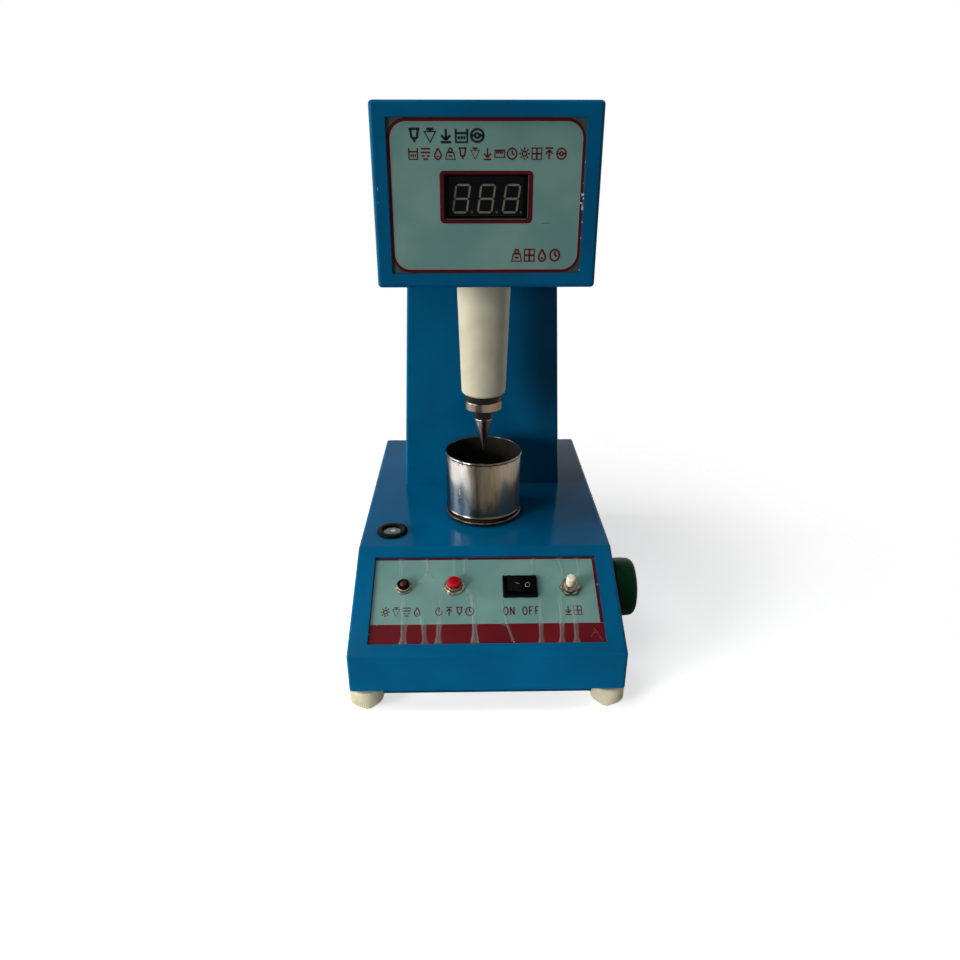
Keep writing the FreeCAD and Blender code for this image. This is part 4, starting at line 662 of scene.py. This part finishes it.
def rib_tree():
    """Half-round ribs that stand round a rim."""
    tree, given = new_tree("rim_ribs", {"Ribs": "Int", "Rim radius": "Float",
                                        "Rib radius": "Float", "Rib length": "Float",
                                        "Finish": "Material"})
    rim = made(tree, "MeshCircle", {"Vertices": given["Ribs"], "Radius": given["Rim radius"]})
    rib = made(tree, "MeshCylinder", {"Vertices": 10, "Radius": given["Rib radius"],
                                      "Depth": given["Rib length"]})
    ribs = made(tree, "InstanceOnPoints", {"Points": rim, "Instance": rib})
    return end_tree(tree, ribs, given["Finish"])


def screw_tree():
    """A screw head on every point of the seed, turned the way the point's attribute says."""
    tree, given = new_tree("screw_heads", {"Head": "Object", "Finish": "Material"})
    head = add(tree, "ObjectInfo", {"Object": given["Head"]}).outputs["Geometry"]
    way = made(tree, "InputNamedAttribute", {"Name": "way"}, data_type="FLOAT_VECTOR")
    aligned = made(tree, "FunctionNodeAlignRotationToVector", {"Vector": way}, axis="Z")
    heads = made(tree, "InstanceOnPoints", {"Points": given["Geometry"], "Instance": head,
                                            "Rotation": aligned})
    return end_tree(tree, heads, given["Finish"])


INK_LINES = ink_line_tree()
RIM_RIBS = rib_tree()
SCREW_HEADS = screw_tree()


# ---- printed marks
def circle(across, up, radius, start=0, turn=360, steps=24):
    """Points of an arc; a whole turn comes back to its start."""
    points = [polar(radius, radians(start + turn * step / steps)) for step in range(steps + 1)]
    return [(across + x, up + y) for x, y in points]


def closed(*points):
    return list(points) + [points[0]]


# Signs in a unit square: their arcs, then their strokes in hundredths of it.
ARCS = {
    "lamp": [circle(0.5, 0.5, 0.22)] + [[circle(0.5, 0.5, radius, angle)[0]
                                         for radius in (0.36, 0.56)]
                                        for angle in range(0, 360, 45)],
    "again": [circle(0.5, 0.46, 0.4, 70, 300)],
    "level": [circle(0.5, 0.5, 0.48), circle(0.5, 0.5, 0.17)],
    "weight": [circle(0.5, 0.8, 0.18)],
    "clock": [circle(0.5, 0.5, 0.48)],
    "drop": [circle(0.5, 0.34, 0.34, 140, 260, 18)],
    "O": [circle(0.5, 0.5, 0.5)],
}
STROKES = {
    "cone": "6 80, 94 80, 50 0, 6 80; 50 80, 50 100; 22 100, 78 100",
    "cup": "6 100, 6 0, 94 0, 94 100; 6 68, 94 68; 28 22, 28 45; 50 22, 50 45; 72 22, 72 45",
    "down": "50 100, 50 18; 14 52, 50 18; 86 52, 50 18; 10 0, 90 0",
    "up": "50 0, 50 84; 14 48, 50 84; 86 48, 50 84; 10 100, 90 100",
    "again": "30 100, 62 86; 62 86, 40 58; 50 46, 50 66",
    "rule": "0 18, 100 18, 100 82, 0 82, 0 18; 20 82, 20 50; 40 82, 40 50; 60 82, 60 50;"
            "80 82, 80 50",
    "level": "67 50, 98 50; 33 50, 2 50",
    "surface": "0 94, 100 94; 0 62, 100 62; 10 30, 40 30; 60 30, 90 30; 25 2, 75 2",
    "weight": "16 62, 84 62, 100 0, 0 0, 16 62; 30 30, 70 30",
    "clock": "50 50, 50 84; 50 50, 76 40",
    "drop": "24 56, 50 100; 76 56, 50 100; 38 26, 62 26",
    "grid": "0 0, 100 0, 100 100, 0 100, 0 0; 50 0, 50 100; 0 50, 100 50",
    "tube": "20 100, 30 30; 80 100, 70 30; 30 30, 70 30; 50 30, 50 0; 8 100, 92 100",
    "N": "8 0, 8 100; 8 100, 92 0; 92 0, 92 100",
    "F": "15 0, 15 100; 15 100, 95 100; 15 52, 75 52",
}
INK = 0.06                      # height of a printed stroke's section
SUNK = -0.05                    # how far a print reaches into what carries it
PROUD = 0.03                    # how far a stroke's middle stands over it


def stroked(name, lines, width, place, ink, slot="printed_label", body="frame", height=INK):
    """Print lines of (across, up) points as flat strokes."""
    seed = bmesh.new()
    for line in lines:
        ends_meet = (Vector(line[0]) - Vector(line[-1])).length < 1e-4
        points = row_of(seed, line[:-1] if ends_meet else line, 0)
        for first, second in zip(points, points[1:] + (points[:1] if ends_meet else [])):
            seed.edges.new((first, second))
    grown = grow(name, kept(name, seed), INK_LINES, {
        "Line width": width, "Ink height": height, "Ink": FINISHES[ink]})
    dressed(name, grown, place, ink, slot, body)


def lines_of(name):
    """A sign's lines in its unit square."""
    drawn = STROKES[name].split(";") if name in STROKES else []
    return ARCS.get(name, []) + [[(x / 100, y / 100) for x, y in points_of(line)]
                                 for line in drawn]


def signs(names, across, up, wide, tall, pitch):
    """Strokes of a row of signs, each wide by tall, from the row's lower left corner."""
    return [[(across + index * pitch + x * wide, up + y * tall) for x, y in line]
            for index, name in enumerate(names.split()) for line in lines_of(name)]


def fleck(across, up, wide, tall, seed):
    """A small ragged patch where print or paint has chipped off."""
    points = []
    for step in range(9):
        x, y = polar(0.65 + 0.35 * sin(seed * 12.9 + step * 2.4), tau * step / 9)
        points.append((across + wide / 2 * x, up + tall / 2 * y))
    return prism(points, -0.03, 0.08)


def flecks(name, rows, place, slot="printed_label", first=0):
    """Chips from rows of across, up, width and height in mm."""
    piece(name, [fleck(*row, first + index) for index, row in enumerate(points_of(rows))],
          place, "bare", slot)


# ---- sheet-metal case
for shell in ("base_shell", "column_shell", "head_shell", "head_cover"):
    skin_of(shell, "blue_enamel")
# the bottom plate's enamel is a darker blue: painted shade under the base
skin_of("bottom_plate", "blue_enamel", "thin_enamel")

# ---- head, face label
HEAD_Z = spread("head_shell")[0].z
HEAD = at(FACE, up=HEAD_Z, out=spread("head_shell", FACE)[1].z)
LABEL = at(FACE, up=HEAD_Z, out=spread("head_label", FACE)[1].z)
opening = round_box(-48.7, 7.3, 48.5, 79.9, 0.01)
window = round_box(-21.4, 33.7, 20.7, 54.6, 0.9)
inner = round_box(-47, 9.1, 46.6, 78, 7.8)
outer = round_box(-48.5, 7.4, 48, 79.7, 9.4)
frame_line = round_box(-23.3, 31.7, 23, 56.2, 2.2)
for name, mesh, ink in (
        ("head_label_border", band(outer, inner, SUNK, 0.06), "border_red"),
        ("head_label_corners", band(opening, grown_outline(outer, 0.05), SUNK, 0.04), "corner"),
        ("head_label_keyline", band(grown_outline(inner, 0.05), grown_outline(inner, -0.3),
                                    SUNK, 0.05), "keyline"),
        ("window_border", band(frame_line, window, SUNK, 0.07), "border_red")):
    piece(name, mesh, LABEL, ink)
for name, lines, width, ink in (
        ("heading_signs", signs("tube cone down cup level", -38.2, 68.9, 6.3, 5.8, 7.6), 1.15,
         "black"),
        ("heading_row", signs("cup surface drop weight tube cone down rule clock lamp grid up "
                              "level", -38.2, 61.3, 4.7, 5, 6.02), 0.76, "sign_red"),
        ("corner_signs", signs("weight grid drop clock", 13, 13.2, 5, 5.9, 6.55), 0.95,
         "dark_red")):
    stroked(name, lines, width, at(LABEL, out=PROUD), ink)

flecks("label_chips", "47.8 45.2 2 2.1, 48.2 43.4 0.9 1.6, 47.2 41.3 1.9 1.2, 47.9 39.2 1.2 4.4,"
       "48.3 32.3 0.5 1.8, 48.1 8.8 0.6 1.2, 48.3 60.2 0.4 1.2, 48 24.6 0.4 1.4,"
       "47.9 50.6 0.4 0.8", at(LABEL, out=PROUD))
flecks("head_chips", "-53.9 47.9 0.3 2.3, -54 41.6 0.25 0.9", at(HEAD, out=SUNK), "blue_enamel")
piece("label_scuffs", prism(points_of("27 31.5, 32.6 31.7, 32.6 31.95, 29 31.85"), -0.03, 0.05),
      at(LABEL, out=PROUD), "corner")


# ---- display module
def digit(left, low, tall=12.9, wide=7, gap=0.22, half=0.5, lean=8):
    """Seven bars with pointed ends, of a leaning digit."""
    middle, top, right = low + tall / 2, low + tall, left + wide
    bars = [((left, level), (right, level)) for level in (low, middle, top)]
    bars += [((x, start), (x, end)) for start, end in ((low, middle), (middle, top))
             for x in (left, right)]
    shapes = []
    for start, end in bars:
        start, end = Vector(start), Vector(end)
        way = (end - start).normalized()
        start, end = start + way * gap, end - way * gap
        along, side = way * half, Vector((-way.y, way.x)) * half
        outline = (start, start + along + side, end - along + side, end,
                   end - along - side, start + along - side)
        shapes.append([(x + (y - low) * tan(radians(lean)), y) for x, y in outline])
    return shapes


low, high = spread("display_module", FACE)
standing_for("display_module", slab(low, high, 0.35), FACE, "black_plastic", "smoked")
# a paler line round the display's face: a painted highlight on its edge
stroked("display_rim", [closed(*rect(low.x + 0.5, low.y + 0.5, high.x - 0.5, high.y - 0.5))],
        0.22, at(FACE, out=high.z), "display_edge", "black_plastic", height=0.04)
DISPLAY = at(FACE, up=HEAD_Z, out=high.z)
piece("digit_segments", [prism(outline, SUNK, 0.05) for left in (-17, -4.4, 8.2)
                         for outline in digit(left, 36.6)], DISPLAY, "segment", None)
piece("decimal_points", [prism(circle(across, 36.7, 0.7, steps=20)[:-1], SUNK, 0.05)
                         for across in (-7.4, 5.2, 17.6)], DISPLAY, "point", None)

# ---- control slope, print
panel_low, panel_high = spread("control_panel", SLOPE)
PANEL_START = panel_low.y - 4.7     # where the slope's own measure starts
PANEL = at(SLOPE, 0, PANEL_START, panel_high.z)
PRINT = at(PANEL, out=PROUD)
for name, ink, boxes in (
        ("control_band", "dark_red", [(-68.7, 7.7, 68.5, 21.2)]),
        ("control_top_line", "border_red", [(-68.7, 66.5, 68.5, 68.1)]),
        ("control_side_lines", "border_red",
         [(66.6, 21.4, 68.5, 66.3), (-68.7, 21.4, -68.1, 66.3)])):
    piece(name, [prism(rect(*box), SUNK, 0.05) for box in boxes], PANEL, ink)
stroked("control_keyline", [closed(*rect(-67.8, 21.5, 66.3, 66.2))], 0.5, PRINT, "keyline")
stroked("control_captions",
        signs("lamp cone surface drop", -62.2, 26.8, 4.7, 5.8, 6.25)
        + signs("again up tube clock", -30.6, 26.8, 4.7, 5.8, 6.05)
        + signs("O N", 10.2, 27, 2.5, 5.4, 3.8) + signs("O F F", 21.6, 27, 2.4, 5.4, 3.6)
        + signs("down grid", 46.3, 26.8, 4.5, 5.8, 5.6), 0.76, PRINT, "sign_red")

# Air channels under the overlay, in mm: width, then points across and along the slope.
CHANNELS = (
    "2.6: -52.2 68, -51.4 53.6; 3: -49.4 40, -48.6 24.3, -48.4 8.2;"
    "1.8: -36.5 68, -35.6 57.8, -39.1 52, -45 48.4; 1.8: -35.6 57.8, -30.4 49.7;"
    "2.4: -40.6 29.6, -37.4 22.9, -35.8 8.2; 2: -19 68, -18.9 52; 2: -12.1 68, -13.3 55.3;"
    "2.6: -26.7 44.7, -27.6 27.4, -28.3 8.2; 2.8: -13.4 44.5, -8 38.8, -7.1 8.2;"
    "1.4: 8.5 44.3, 11.8 22.3, 15.3 9.3; 1.1: 3.1 23.7, 11.7 19.6; 1.8: 30.1 68, 28.7 54;"
    "2.2: 32.9 39.5, 31.9 24, 31.2 8.2; 2: 46.4 68, 47.9 52; 2: 57.1 67.9, 58.4 52;"
    "2.4: 44.6 40.3, 44.2 23.2, 42.9 8.2; 2.4: 53.4 38.1, 51.5 8.2; 1.2: 36.6 54.7, 42.9 49.6")
LOW_EDGE = 9                    # a channel that ends below this opens at the film's edge
BLISTER = 0.28                  # height of a channel's middle over its rims
REACH = 0.65                    # half its width, as a share of the width given
# Across a channel: how far out (in shares of its half), and how strong its painted sheen is there.
SHEEN = ((-1, 0), (-0.62, 1), (-0.34, 0.55), (0, 0.4), (0.34, 0.55), (0.62, 1), (1, 0))


def channel(text, rows=28):
    """A low blister along a path, with a point attribute of painted sheen that falls to nothing at
    its rims.
    """
    width, path = text.split(":")
    corners = [Vector(point) for point in points_of(path)]
    line = []
    for row in range(rows + 1):
        share = row / rows * (len(corners) - 1)
        index = min(int(share), len(corners) - 2)
        before = corners[max(index - 1, 0)]
        after = corners[min(index + 2, len(corners) - 1)]
        step = share - index
        first, second = corners[index], corners[index + 1]
        line.append((first * 2 + (second - before) * step
                     + (before * 2 - first * 5 + second * 4 - after) * step ** 2
                     + (first * 3 - before - second * 3 + after) * step ** 3) / 2)
    mesh = bmesh.new()
    ridge = mesh.verts.layers.float.new("ridge")
    opens = corners[-1].y < LOW_EDGE
    sections = []
    for index, here in enumerate(line):
        along = (line[min(index + 1, rows)] - line[max(index - 1, 0)]).normalized()
        side = Vector((-along.y, along.x))
        flare = (1 + 0.12 * sin(index * 0.5)
                 + (2.4 if opens else 0.2) * max(0, index / rows - 0.85) * 2)
        ends = min(1, index / 3, 1 if opens else (rows - index) / 3)
        section = []
        for across, strength in SHEEN:
            place = here + side * across * float(width) * REACH * flare
            section += row_of(mesh, [place], INK + BLISTER * (1 - across * across))
            section[-1][ridge] = strength * ends
        sections.append(section)
    bridge(mesh, sections, rim=False)
    return mesh


piece("overlay_air_channels", [channel(text) for text in CHANNELS.split(";")], PANEL, "ridge",
      turn=sheet_outwards, smooth=60)
stroked("band_scratches", [points_of("60 11.9, 63.3 16.6"), points_of("63.3 16.6, 66.9 8.4"),
                           points_of("61.6 14.6, 64.7 15"), points_of("63.3 16.6, 62.2 17.6")],
        0.3, at(PANEL, out=0.05), "scratch")
flecks("panel_flecks", "15.3 9.3 0.9 1, -64.4 20.9 0.5 0.4, 68 47.5 0.4 1.5, -68.3 15 0.3 1.8",
       at(PANEL, out=0.05), first=1)


# ---- controls
def control_place(node):
    """The place on the panel's face under a control that stands square to it."""
    across, along, _ = axis_of(node, SLOPE)
    return at(SLOPE, across, along, panel_high.z)


lamp, reset, measure = (control_place(node) for node in ("lamp_bezel", "reset_case",
                                                         "measure_case"))
turned("lamp_bezel", lamp, "bright_chrome",
    "2.5 -12, 3.9 -12, 3.9 0, 5.2 0 0.2, 5.2 0.8 0.4, 4.5 1.1 0.2, 4.35 2.6 0.4, 3.7 2.8 0.2, "
    "2.5 2.8", "soiled_chrome", sides=FINE)
piece("lamp_collar", lathe("2.45 2.6, 3.75 2.6 0.1, 3.75 4.1 0.5, 2.6 4.1 0.4", sides=FINE), lamp,
      "switch_black", "black_plastic")
DOME = 2.4                      # radius of the lamp's lens and of its dome
dome = [polar(DOME, radians(angle)) for angle in range(0, 86, 6)]
turned("lamp_lens", lamp, "red_lens", [(0, -12), (DOME, -12)] + [
    (radius, 3 + height) for radius, height in dome] + [(0, 3 + DOME)], soft=0.02, sides=FINE)
turned("reset_case", reset, "bright_chrome",
    "0 -15, 5.2 -15, 5.2 0, 6.6 0 0.2, 6.6 0.8 0.5, 5.7 1.2 0.2, 5.3 1.5 0.2, 5.1 2.4 0.5, "
    "4.7 3.2 0.4, 4.25 3.2 0.2, 4.25 -13, 0 -13", "soiled_chrome", sides=MIDDLING)
turned("reset_cap", reset, "red_plastic", "0 -6, 4.1 -6, 4.1 5.7 1.2, 1.8 6 1, 0 6", sides=MIDDLING)
PITCH, DEPTH = 0.7, 0.28        # of the thread on the measure button's bush
threads = [(4.3 - (DEPTH if step % 2 else 0), 2.7 + PITCH / 2 * step, 0.08)
           for step in range(9)]
turned("measure_case", measure, "bright_chrome", [
    (0, -15), (4.2, -15), (4.2, 2.7), *threads, (4, 6.2, 0.3), (2.95, 6.2), (2.95, -13),
    (0, -13)], "soiled_chrome", sides=FINE)
turned("measure_cap", measure, "ivory_plastic", "0 -6, 2.8 -6, 2.8 11.4 0.6, 1.9 12 0.6, 0 12",
       sides=FINE)


def hexagon_nut(across_flats, height, bore, bevel=0.45, steps=72):
    """A hexagon nut with its corners turned off to a cone at both faces."""
    half = across_flats / 2
    turns = [tau * step / steps for step in range(steps)]
    flats = [polar(half / cos(angle % (pi / 3) - pi / 6), angle) for angle in turns]
    wall, chamfer = ([polar(radius, angle) for angle in turns] for radius in (bore, half * 0.97))
    return hollow((wall, 0), (chamfer, 0), (flats, bevel), (flats, height - bevel),
                  (chamfer, height), (wall, height))


def back_nut(place, bore):
    """The round nut behind the panel, drawn in the front nut's own directions."""
    rim = bore + 2.6
    ring = lathe([(bore, -4), (rim, -4, 0.3), (rim, -1.5, 0.3), (bore, -1.5)], sides=FINE)
    ring.transform(measure.inverted() @ place)
    return ring


standing_for("panel_nuts", [hexagon_nut(11, 2.6, 4.32), back_nut(lamp, 3.92),
                            back_nut(reset, 5.32), back_nut(measure, 4.32)], measure,
             "bright_chrome", "soiled_chrome", 20)

# ---- rocker switch
switch = control_place("rocker_case")
rim = round_box(-10.5, -7.5, 10.5, 7.5, 0.8)
hole = round_box(-8.6, -5.6, 8.6, 5.6, 0.4)
bezel = hollow((rim, 0), (rim, 1.5), (grown_outline(rim, -0.5), 2),
               (grown_outline(hole, 0.3), 2), (hole, 1.7), (hole, -11.5))
standing_for("rocker_case", [bezel, slab((-9.4, -6.3, -13.5), (9.4, 6.3, -11.4), 0.3)], switch,
             "black_plastic", "switch_black", 35)

PIVOT = 0.4                     # height of the paddle's pin over the panel
HALF = 8.2                      # half the paddle's length
WIDE = 5.3                      # half its width
CROWN = 2.6                     # height of its middle over the pin
DISH = 1.35                     # the power its top rises by towards its ends
TILT = radians(9)


def crown_height(across):
    """Height of the paddle's dished top over its pin."""
    return CROWN + HALF * tan(TILT) * (abs(across) / HALF) ** DISH


section = [(-HALF, -0.8), (0, -3.4), (HALF, -0.8)] + [
    (HALF * share / 12, crown_height(HALF * share / 12)) for share in range(12, -13, -1)]
paddle = prism(section, -WIDE, WIDE)
paddle.transform(basis(RIGHT, (0, 0, 1), (0, 1, 0)))
caps = [edge for edge in paddle.edges if abs(edge.verts[0].co.y - edge.verts[1].co.y) < 1e-6]
bmesh.ops.bevel(paddle, geom=caps, offset=0.35, segments=2, profile=0.5, affect="EDGES")
tipped = at(switch, out=PIVOT) @ Matrix.Rotation(TILT, 4, "Y")
standing_for("rocker_paddle", paddle, tipped, "black_plastic", "switch_black")
for name, line, across, height in (("off_sign", circle(4.1, -0.1, 1.5, steps=28), 4.1, 0.5),
                                   ("on_sign", [(-3.5, 0.8), (-1.1, 0.3)], 2.2, 0.35)):
    stroked(name, [line], 0.3, at(tipped, out=crown_height(across)), "pale_mark",
            "black_plastic", "power_rocker", height)

# ---- bull's eye level
across, back, _ = axis_of("level_case")
level = at(UPRIGHT, across, back, spread("base_shell")[1].z)
turned("level_case", level, "black_plastic",
    "0 -9, 8 -9, 8 0, 10 0 0.1, 10 1.4 0.6, 8.6 1.85 0.3, 6.6 1.85 0.3, 5.75 1 0.3, 5.75 -6.5, "
    "0 -6.5", "switch_black")
turned("level_vial", level, "level_glass", "0 -6.4, 5.6 -6.4, 5.6 0.5 0.3, 0 0.95",
       sides=MIDDLING)
piece("level_liquid", lathe("0 -6, 5.2 -6, 5.2 -0.5 0.3, 0 -0.2", sides=MIDDLING), level,
      "spirit", "level_glass")
piece("level_bubble", lathe("0 -0.25, 1.5 -0.3, 1.75 -0.08 0.1, 1.4 0.12 0.3, 0 0.2", sides=FINE),
      at(level, 0.6, 0.5), "bubble", "level_glass")
stroked("level_circle", [circle(0, 0, 2.4, steps=40)], 0.22, at(level, out=-0.12), "black",
        "level_glass", height=0.04)

# ---- what stands on the plunger's upright axis
tube_low, tube_high = (corner.z for corner in spread("guide_tube"))
tube_top = tube_high - tube_low
for node, slot, profile, worn in (
        ("guide_tube", "ivory_tube",
         [(4.7, 0), (5.6, 0, 0.2), (12.2, 0, 0.8), (14.1, 1.5, 1.6), (16.6, tube_top),
          (7, tube_top), (7, 3), (4.7, 3)], {}),
        ("insulating_disc", "black_plastic", "4 0, 11.9 0 0.2, 11.9 3.4 0.5, 4 3.4", {}),
        ("ring_weight", "polished_steel",
         "4 0, 11.6 0 0.2, 12.25 0.6 0.2, 12.25 5.5 0.2, 11.7 6.1 0.2, 4 6.1",
         {"finish": "steel_tarnish_and_reflections"}),
        ("cone_collar", "black_plastic",
         "4 0, 5.9 0 0.3, 5.9 2.2 0.2, 6.3 2.5 0.2, 6.3 5.2 0.3, 5.6 6 0.3, 4 6.6", {}),
        ("penetration_cone", "polished_steel",
         "0 0, 0.12 0.06 0.1, 6 22.4 0.3, 6.27 22.9 0.3, 6 23.4 0.3, 0 23.4",
         {"soft": 0.3, "smooth": 25}),
        ("stage_disc", "polished_steel",
         "0 0, 24.6 0 0.3, 25.6 0.8 0.5, 25.6 2.2 0.5, 25 2.8 0.3, 24 2.8 0.2, 24 2.2, 0 2.2",
         {"finish": "tarnished_steel"}),
        ("specimen_cup", "nickel_cup",
         "0 0, 23.5 0 0.2, 23.5 1.6 0.3, 24.7 2 0.5, 25.5 2.9 0.6, 25.1 3.9 0.4, 25 4.6 0.5, "
         "25.1 41.4 0.5, 25.5 41.8 0.3, 25.6 42.5 0.3, 25.3 43.1 0.25, 24.5 43.1 0.3, "
         "24.3 42.4 0.4, 24.2 6.2 1.4, 22.4 4.6 1.2, 0 4.6", {"soft": 0.4, "sides": FINEST})):
    turned(node, at(UPRIGHT, out=axis_of(node)[2]), slot, profile, **worn)

# ---- hand knob
turned("lift_knob", at(SIDE, *axis_of("lift_knob", SIDE)), "green_plastic",
    "4.05 0.4, 9 0 0.4, 17.6 0 1, 18.4 1.4 1, 18.6 6.5 2.5, 18.2 11.2 2.5, 16.4 13.6 2, "
    "13 14 1.2, 11.4 13.2 1, 0 12.9", smooth=40, soft=0.4)

# ---- levelling feet
RIBS = {"Ribs": 50, "Rim radius": 9.7, "Rib radius": 0.36, "Rib length": 8.2,
        "Finish": FINISHES["cream_nylon"]}
for foot in ("front_left", "front_right", "back_left", "back_right"):
    node = f"foot_wheel_{foot}"
    stand = at(UPRIGHT, *axis_of(node))
    turned(node, stand, "cream_nylon",
        "0 0.25, 3.7 0 0.2, 4.7 0 0.5, 5.2 1.3 0.8, 7.2 4 1.2, 9.6 5.4 0.8, 9.8 14.6 0.5, "
        "8.9 15.6 0.5, 4.1 15.6, 4.1 7.6, 0 7.6", smooth=40, soft=0.4, sides=MIDDLING)
    ribs = grow(f"{node}_ribs", bpy.data.meshes.new("rim"), RIM_RIBS, RIBS)
    dressed(f"{node}_ribs", ribs, at(stand, out=10.1), "cream_nylon", "cream_nylon",
            body_of(node), smooth=40)

# ---- mains inlet, fuse holder, screws
skin_of("mains_inlet", "black_plastic")
across, up, _ = axis_of("fuse_holder", REAR)
turned("fuse_holder", at(REAR, across, up, spread("base_shell", REAR)[1].z), "black_plastic",
    "0 -26, 5.95 -26, 5.95 0, 8.5 0 0.4, 8.5 1.6 0.4, 7.2 2 0.3, 6.9 5.5 0.6, 0 6", sides=MIDDLING)

HEAD_HEIGHT = 1.7               # of a screw's pan head


def screw_head(half=0.32, arm=1.35):
    """A pan head with a cross recess of a half width and an arm's length, seated on its
    own origin."""
    lean = degrees(atan2(half, arm))
    angles = [quarter * 90 + turn for quarter in range(4)
              for turn in (-45, -28, -lean, 0, lean, 28)]
    mesh = bmesh.new()
    rows = [row_of(mesh, [polar(radius, radians(angle)) for angle in angles], height)
            for radius, height in ((2.8, 0), (2.8, 0.75), (2.6, 1.2), (2.2, 1.5), (1.7, 1.68))]
    for share, height in ((1, HEAD_HEIGHT), (0.8, 0.8)):
        cross = []
        for angle in angles:
            off = radians((angle + 45) % 90 - 45)
            reach = arm / cos(off) if abs(degrees(off)) <= lean + 0.01 else half / abs(sin(off))
            cross.append(polar(share * reach, radians(angle)))
        rows.append(row_of(mesh, cross, height))
    bridge(mesh, rows)
    for end in (rows[0], rows[-1]):
        mesh.faces.new(end)
    return mesh


def islands(node):
    """The points, in mm, of each separate shape in a CAD node."""
    mesh = merged(node)
    waiting = set(mesh.verts)
    found = []
    while waiting:
        stack = [waiting.pop()]
        found.append([])
        while stack:
            vertex = stack.pop()
            found[-1].append(vertex.co / MM)
            fresh = {edge.other_vert(vertex) for edge in vertex.link_edges} & waiting
            waiting -= fresh
            stack.extend(fresh)
    mesh.free()
    return found


def seat_of(screw):
    """Where a screw's head sits on its shank, and the way it looks: its wider end."""
    low, high = box_of(screw)
    middle = (low + high) / 2
    axis = max(range(3), key=lambda side: (high - low)[side])
    reach = {end: max((point - middle).length for point in screw if abs(point[axis] - end) < 0.01)
             for end in (low[axis], high[axis])}
    end = max(reach, key=reach.get)
    way = Vector([0, 0, 0])
    way[axis] = 1 if end == high[axis] else -1
    middle[axis] = end - way[axis] * HEAD_HEIGHT
    return middle, way


places = [seat_of(screw) for screw in islands("machine_screws")]
head_mesh = screw_head()
solid_outwards(head_mesh)
head_item = shown("pan_head", kept("pan_head", head_mesh))
cloud = bpy.data.meshes.new("screw_places")
cloud.from_pydata([tuple(seat) for seat, _ in places], [], [])
ways = cloud.attributes.new("way", "FLOAT_VECTOR", "POINT")
for index, (_, way) in enumerate(places):
    ways.data[index].vector = way
heads = grow("screw_heads", cloud, SCREW_HEADS, {"Head": head_item,
                                                 "Finish": FINISHES["bright_chrome"]})
bpy.data.objects.remove(head_item)
dressed("screw_heads", heads, UPRIGHT, "bright_chrome", "bright_chrome")


# ---- room and light
def white_sweep():
    """A white paper sweep: it keeps the shadow by the feet and, further out, lets the
    white of the room through, so no edge of the paper shows."""
    material, tree, shader = new_finish("white_paper_sweep", "#f4f4f4", Roughness=0.9)
    shader.inputs["Emission Color"].default_value = (1, 1, 1, 1)
    rays = add(tree, "LightPath").outputs
    tree.links.new(maths(tree, "MULTIPLY", rays["Is Camera Ray"], 0.6),
                   shader.inputs["Emission Strength"])
    fade = ranged(tree, length(tree, own_place(tree)), 0.15, 0.42,
                  interpolation_type="SMOOTHSTEP")
    blend = made(tree, "MixShader", {0: fade, 1: shader.outputs[0],
                                     2: made(tree, "BsdfTransparent")})
    tree.links.new(blend, tree.nodes["Material Output"].inputs["Surface"])
    return material


sheet = bpy.data.meshes.new("bench")
sheet.from_pydata([(x, y, 0) for x, y in rect(-6, -6, 6, 6)], [], [(0, 1, 2, 3)])
sheet.materials.append(white_sweep())
bench = shown("bench", sheet)

CENTRE = (0, 0, 0.15)
KEY_PLACE, KEY_SIZE = (-1.06, -0.93, 0.32), (0.45, 0.6)
for name, place, aim, size, power, spread_angle in (    # a grid on a lamp narrows its spread
        ("key_soft_box", KEY_PLACE, CENTRE, KEY_SIZE, 6.6, 180),
        ("base_soft_box", KEY_PLACE, (0, -0.1, -0.2), KEY_SIZE, 0.8, 40),
        ("side_soft_box", (-1.25, 0.05, 0.4), CENTRE, (0.5, 0.8), 10.5, 180),
        ("top_soft_box", (-0.4, -0.3, 1.2), CENTRE, (0.6, 0.6), 4.6, 180),
        ("right_soft_box", (1.3, 0.35, 0.35), CENTRE, (0.6, 0.6), 1.6, 180),
        ("back_soft_box", (0.35, 1.35, 0.3), CENTRE, (0.7, 0.7), 1.6, 180)):
    light = bpy.data.lights.new(name, "AREA")
    light.shape = "RECTANGLE"
    light.size, light.size_y = size
    light.energy = power
    light.spread = radians(spread_angle)
    item = shown(name, light)
    item.location = place
    item.rotation_euler = (Vector(aim) - Vector(place)).to_track_quat("-Z", "Y").to_euler()

world = bpy.data.worlds.new("studio")
bpy.context.scene.world = world
world.use_nodes = True
air = world.node_tree
rays = add(air, "LightPath").outputs
mirrored = maths(air, "MAXIMUM", rays["Is Camera Ray"], rays["Is Glossy Ray"])
seen = maths(air, "MAXIMUM", mirrored, rays["Is Transmission Ray"])
background = air.nodes["Background"]
background.inputs["Color"].default_value = (1, 1, 1, 1)
air.links.new(ranged(air, seen, 0, 1, 0.05, 1), background.inputs["Strength"])

bpy.context.scene.view_settings.view_transform = "Standard"
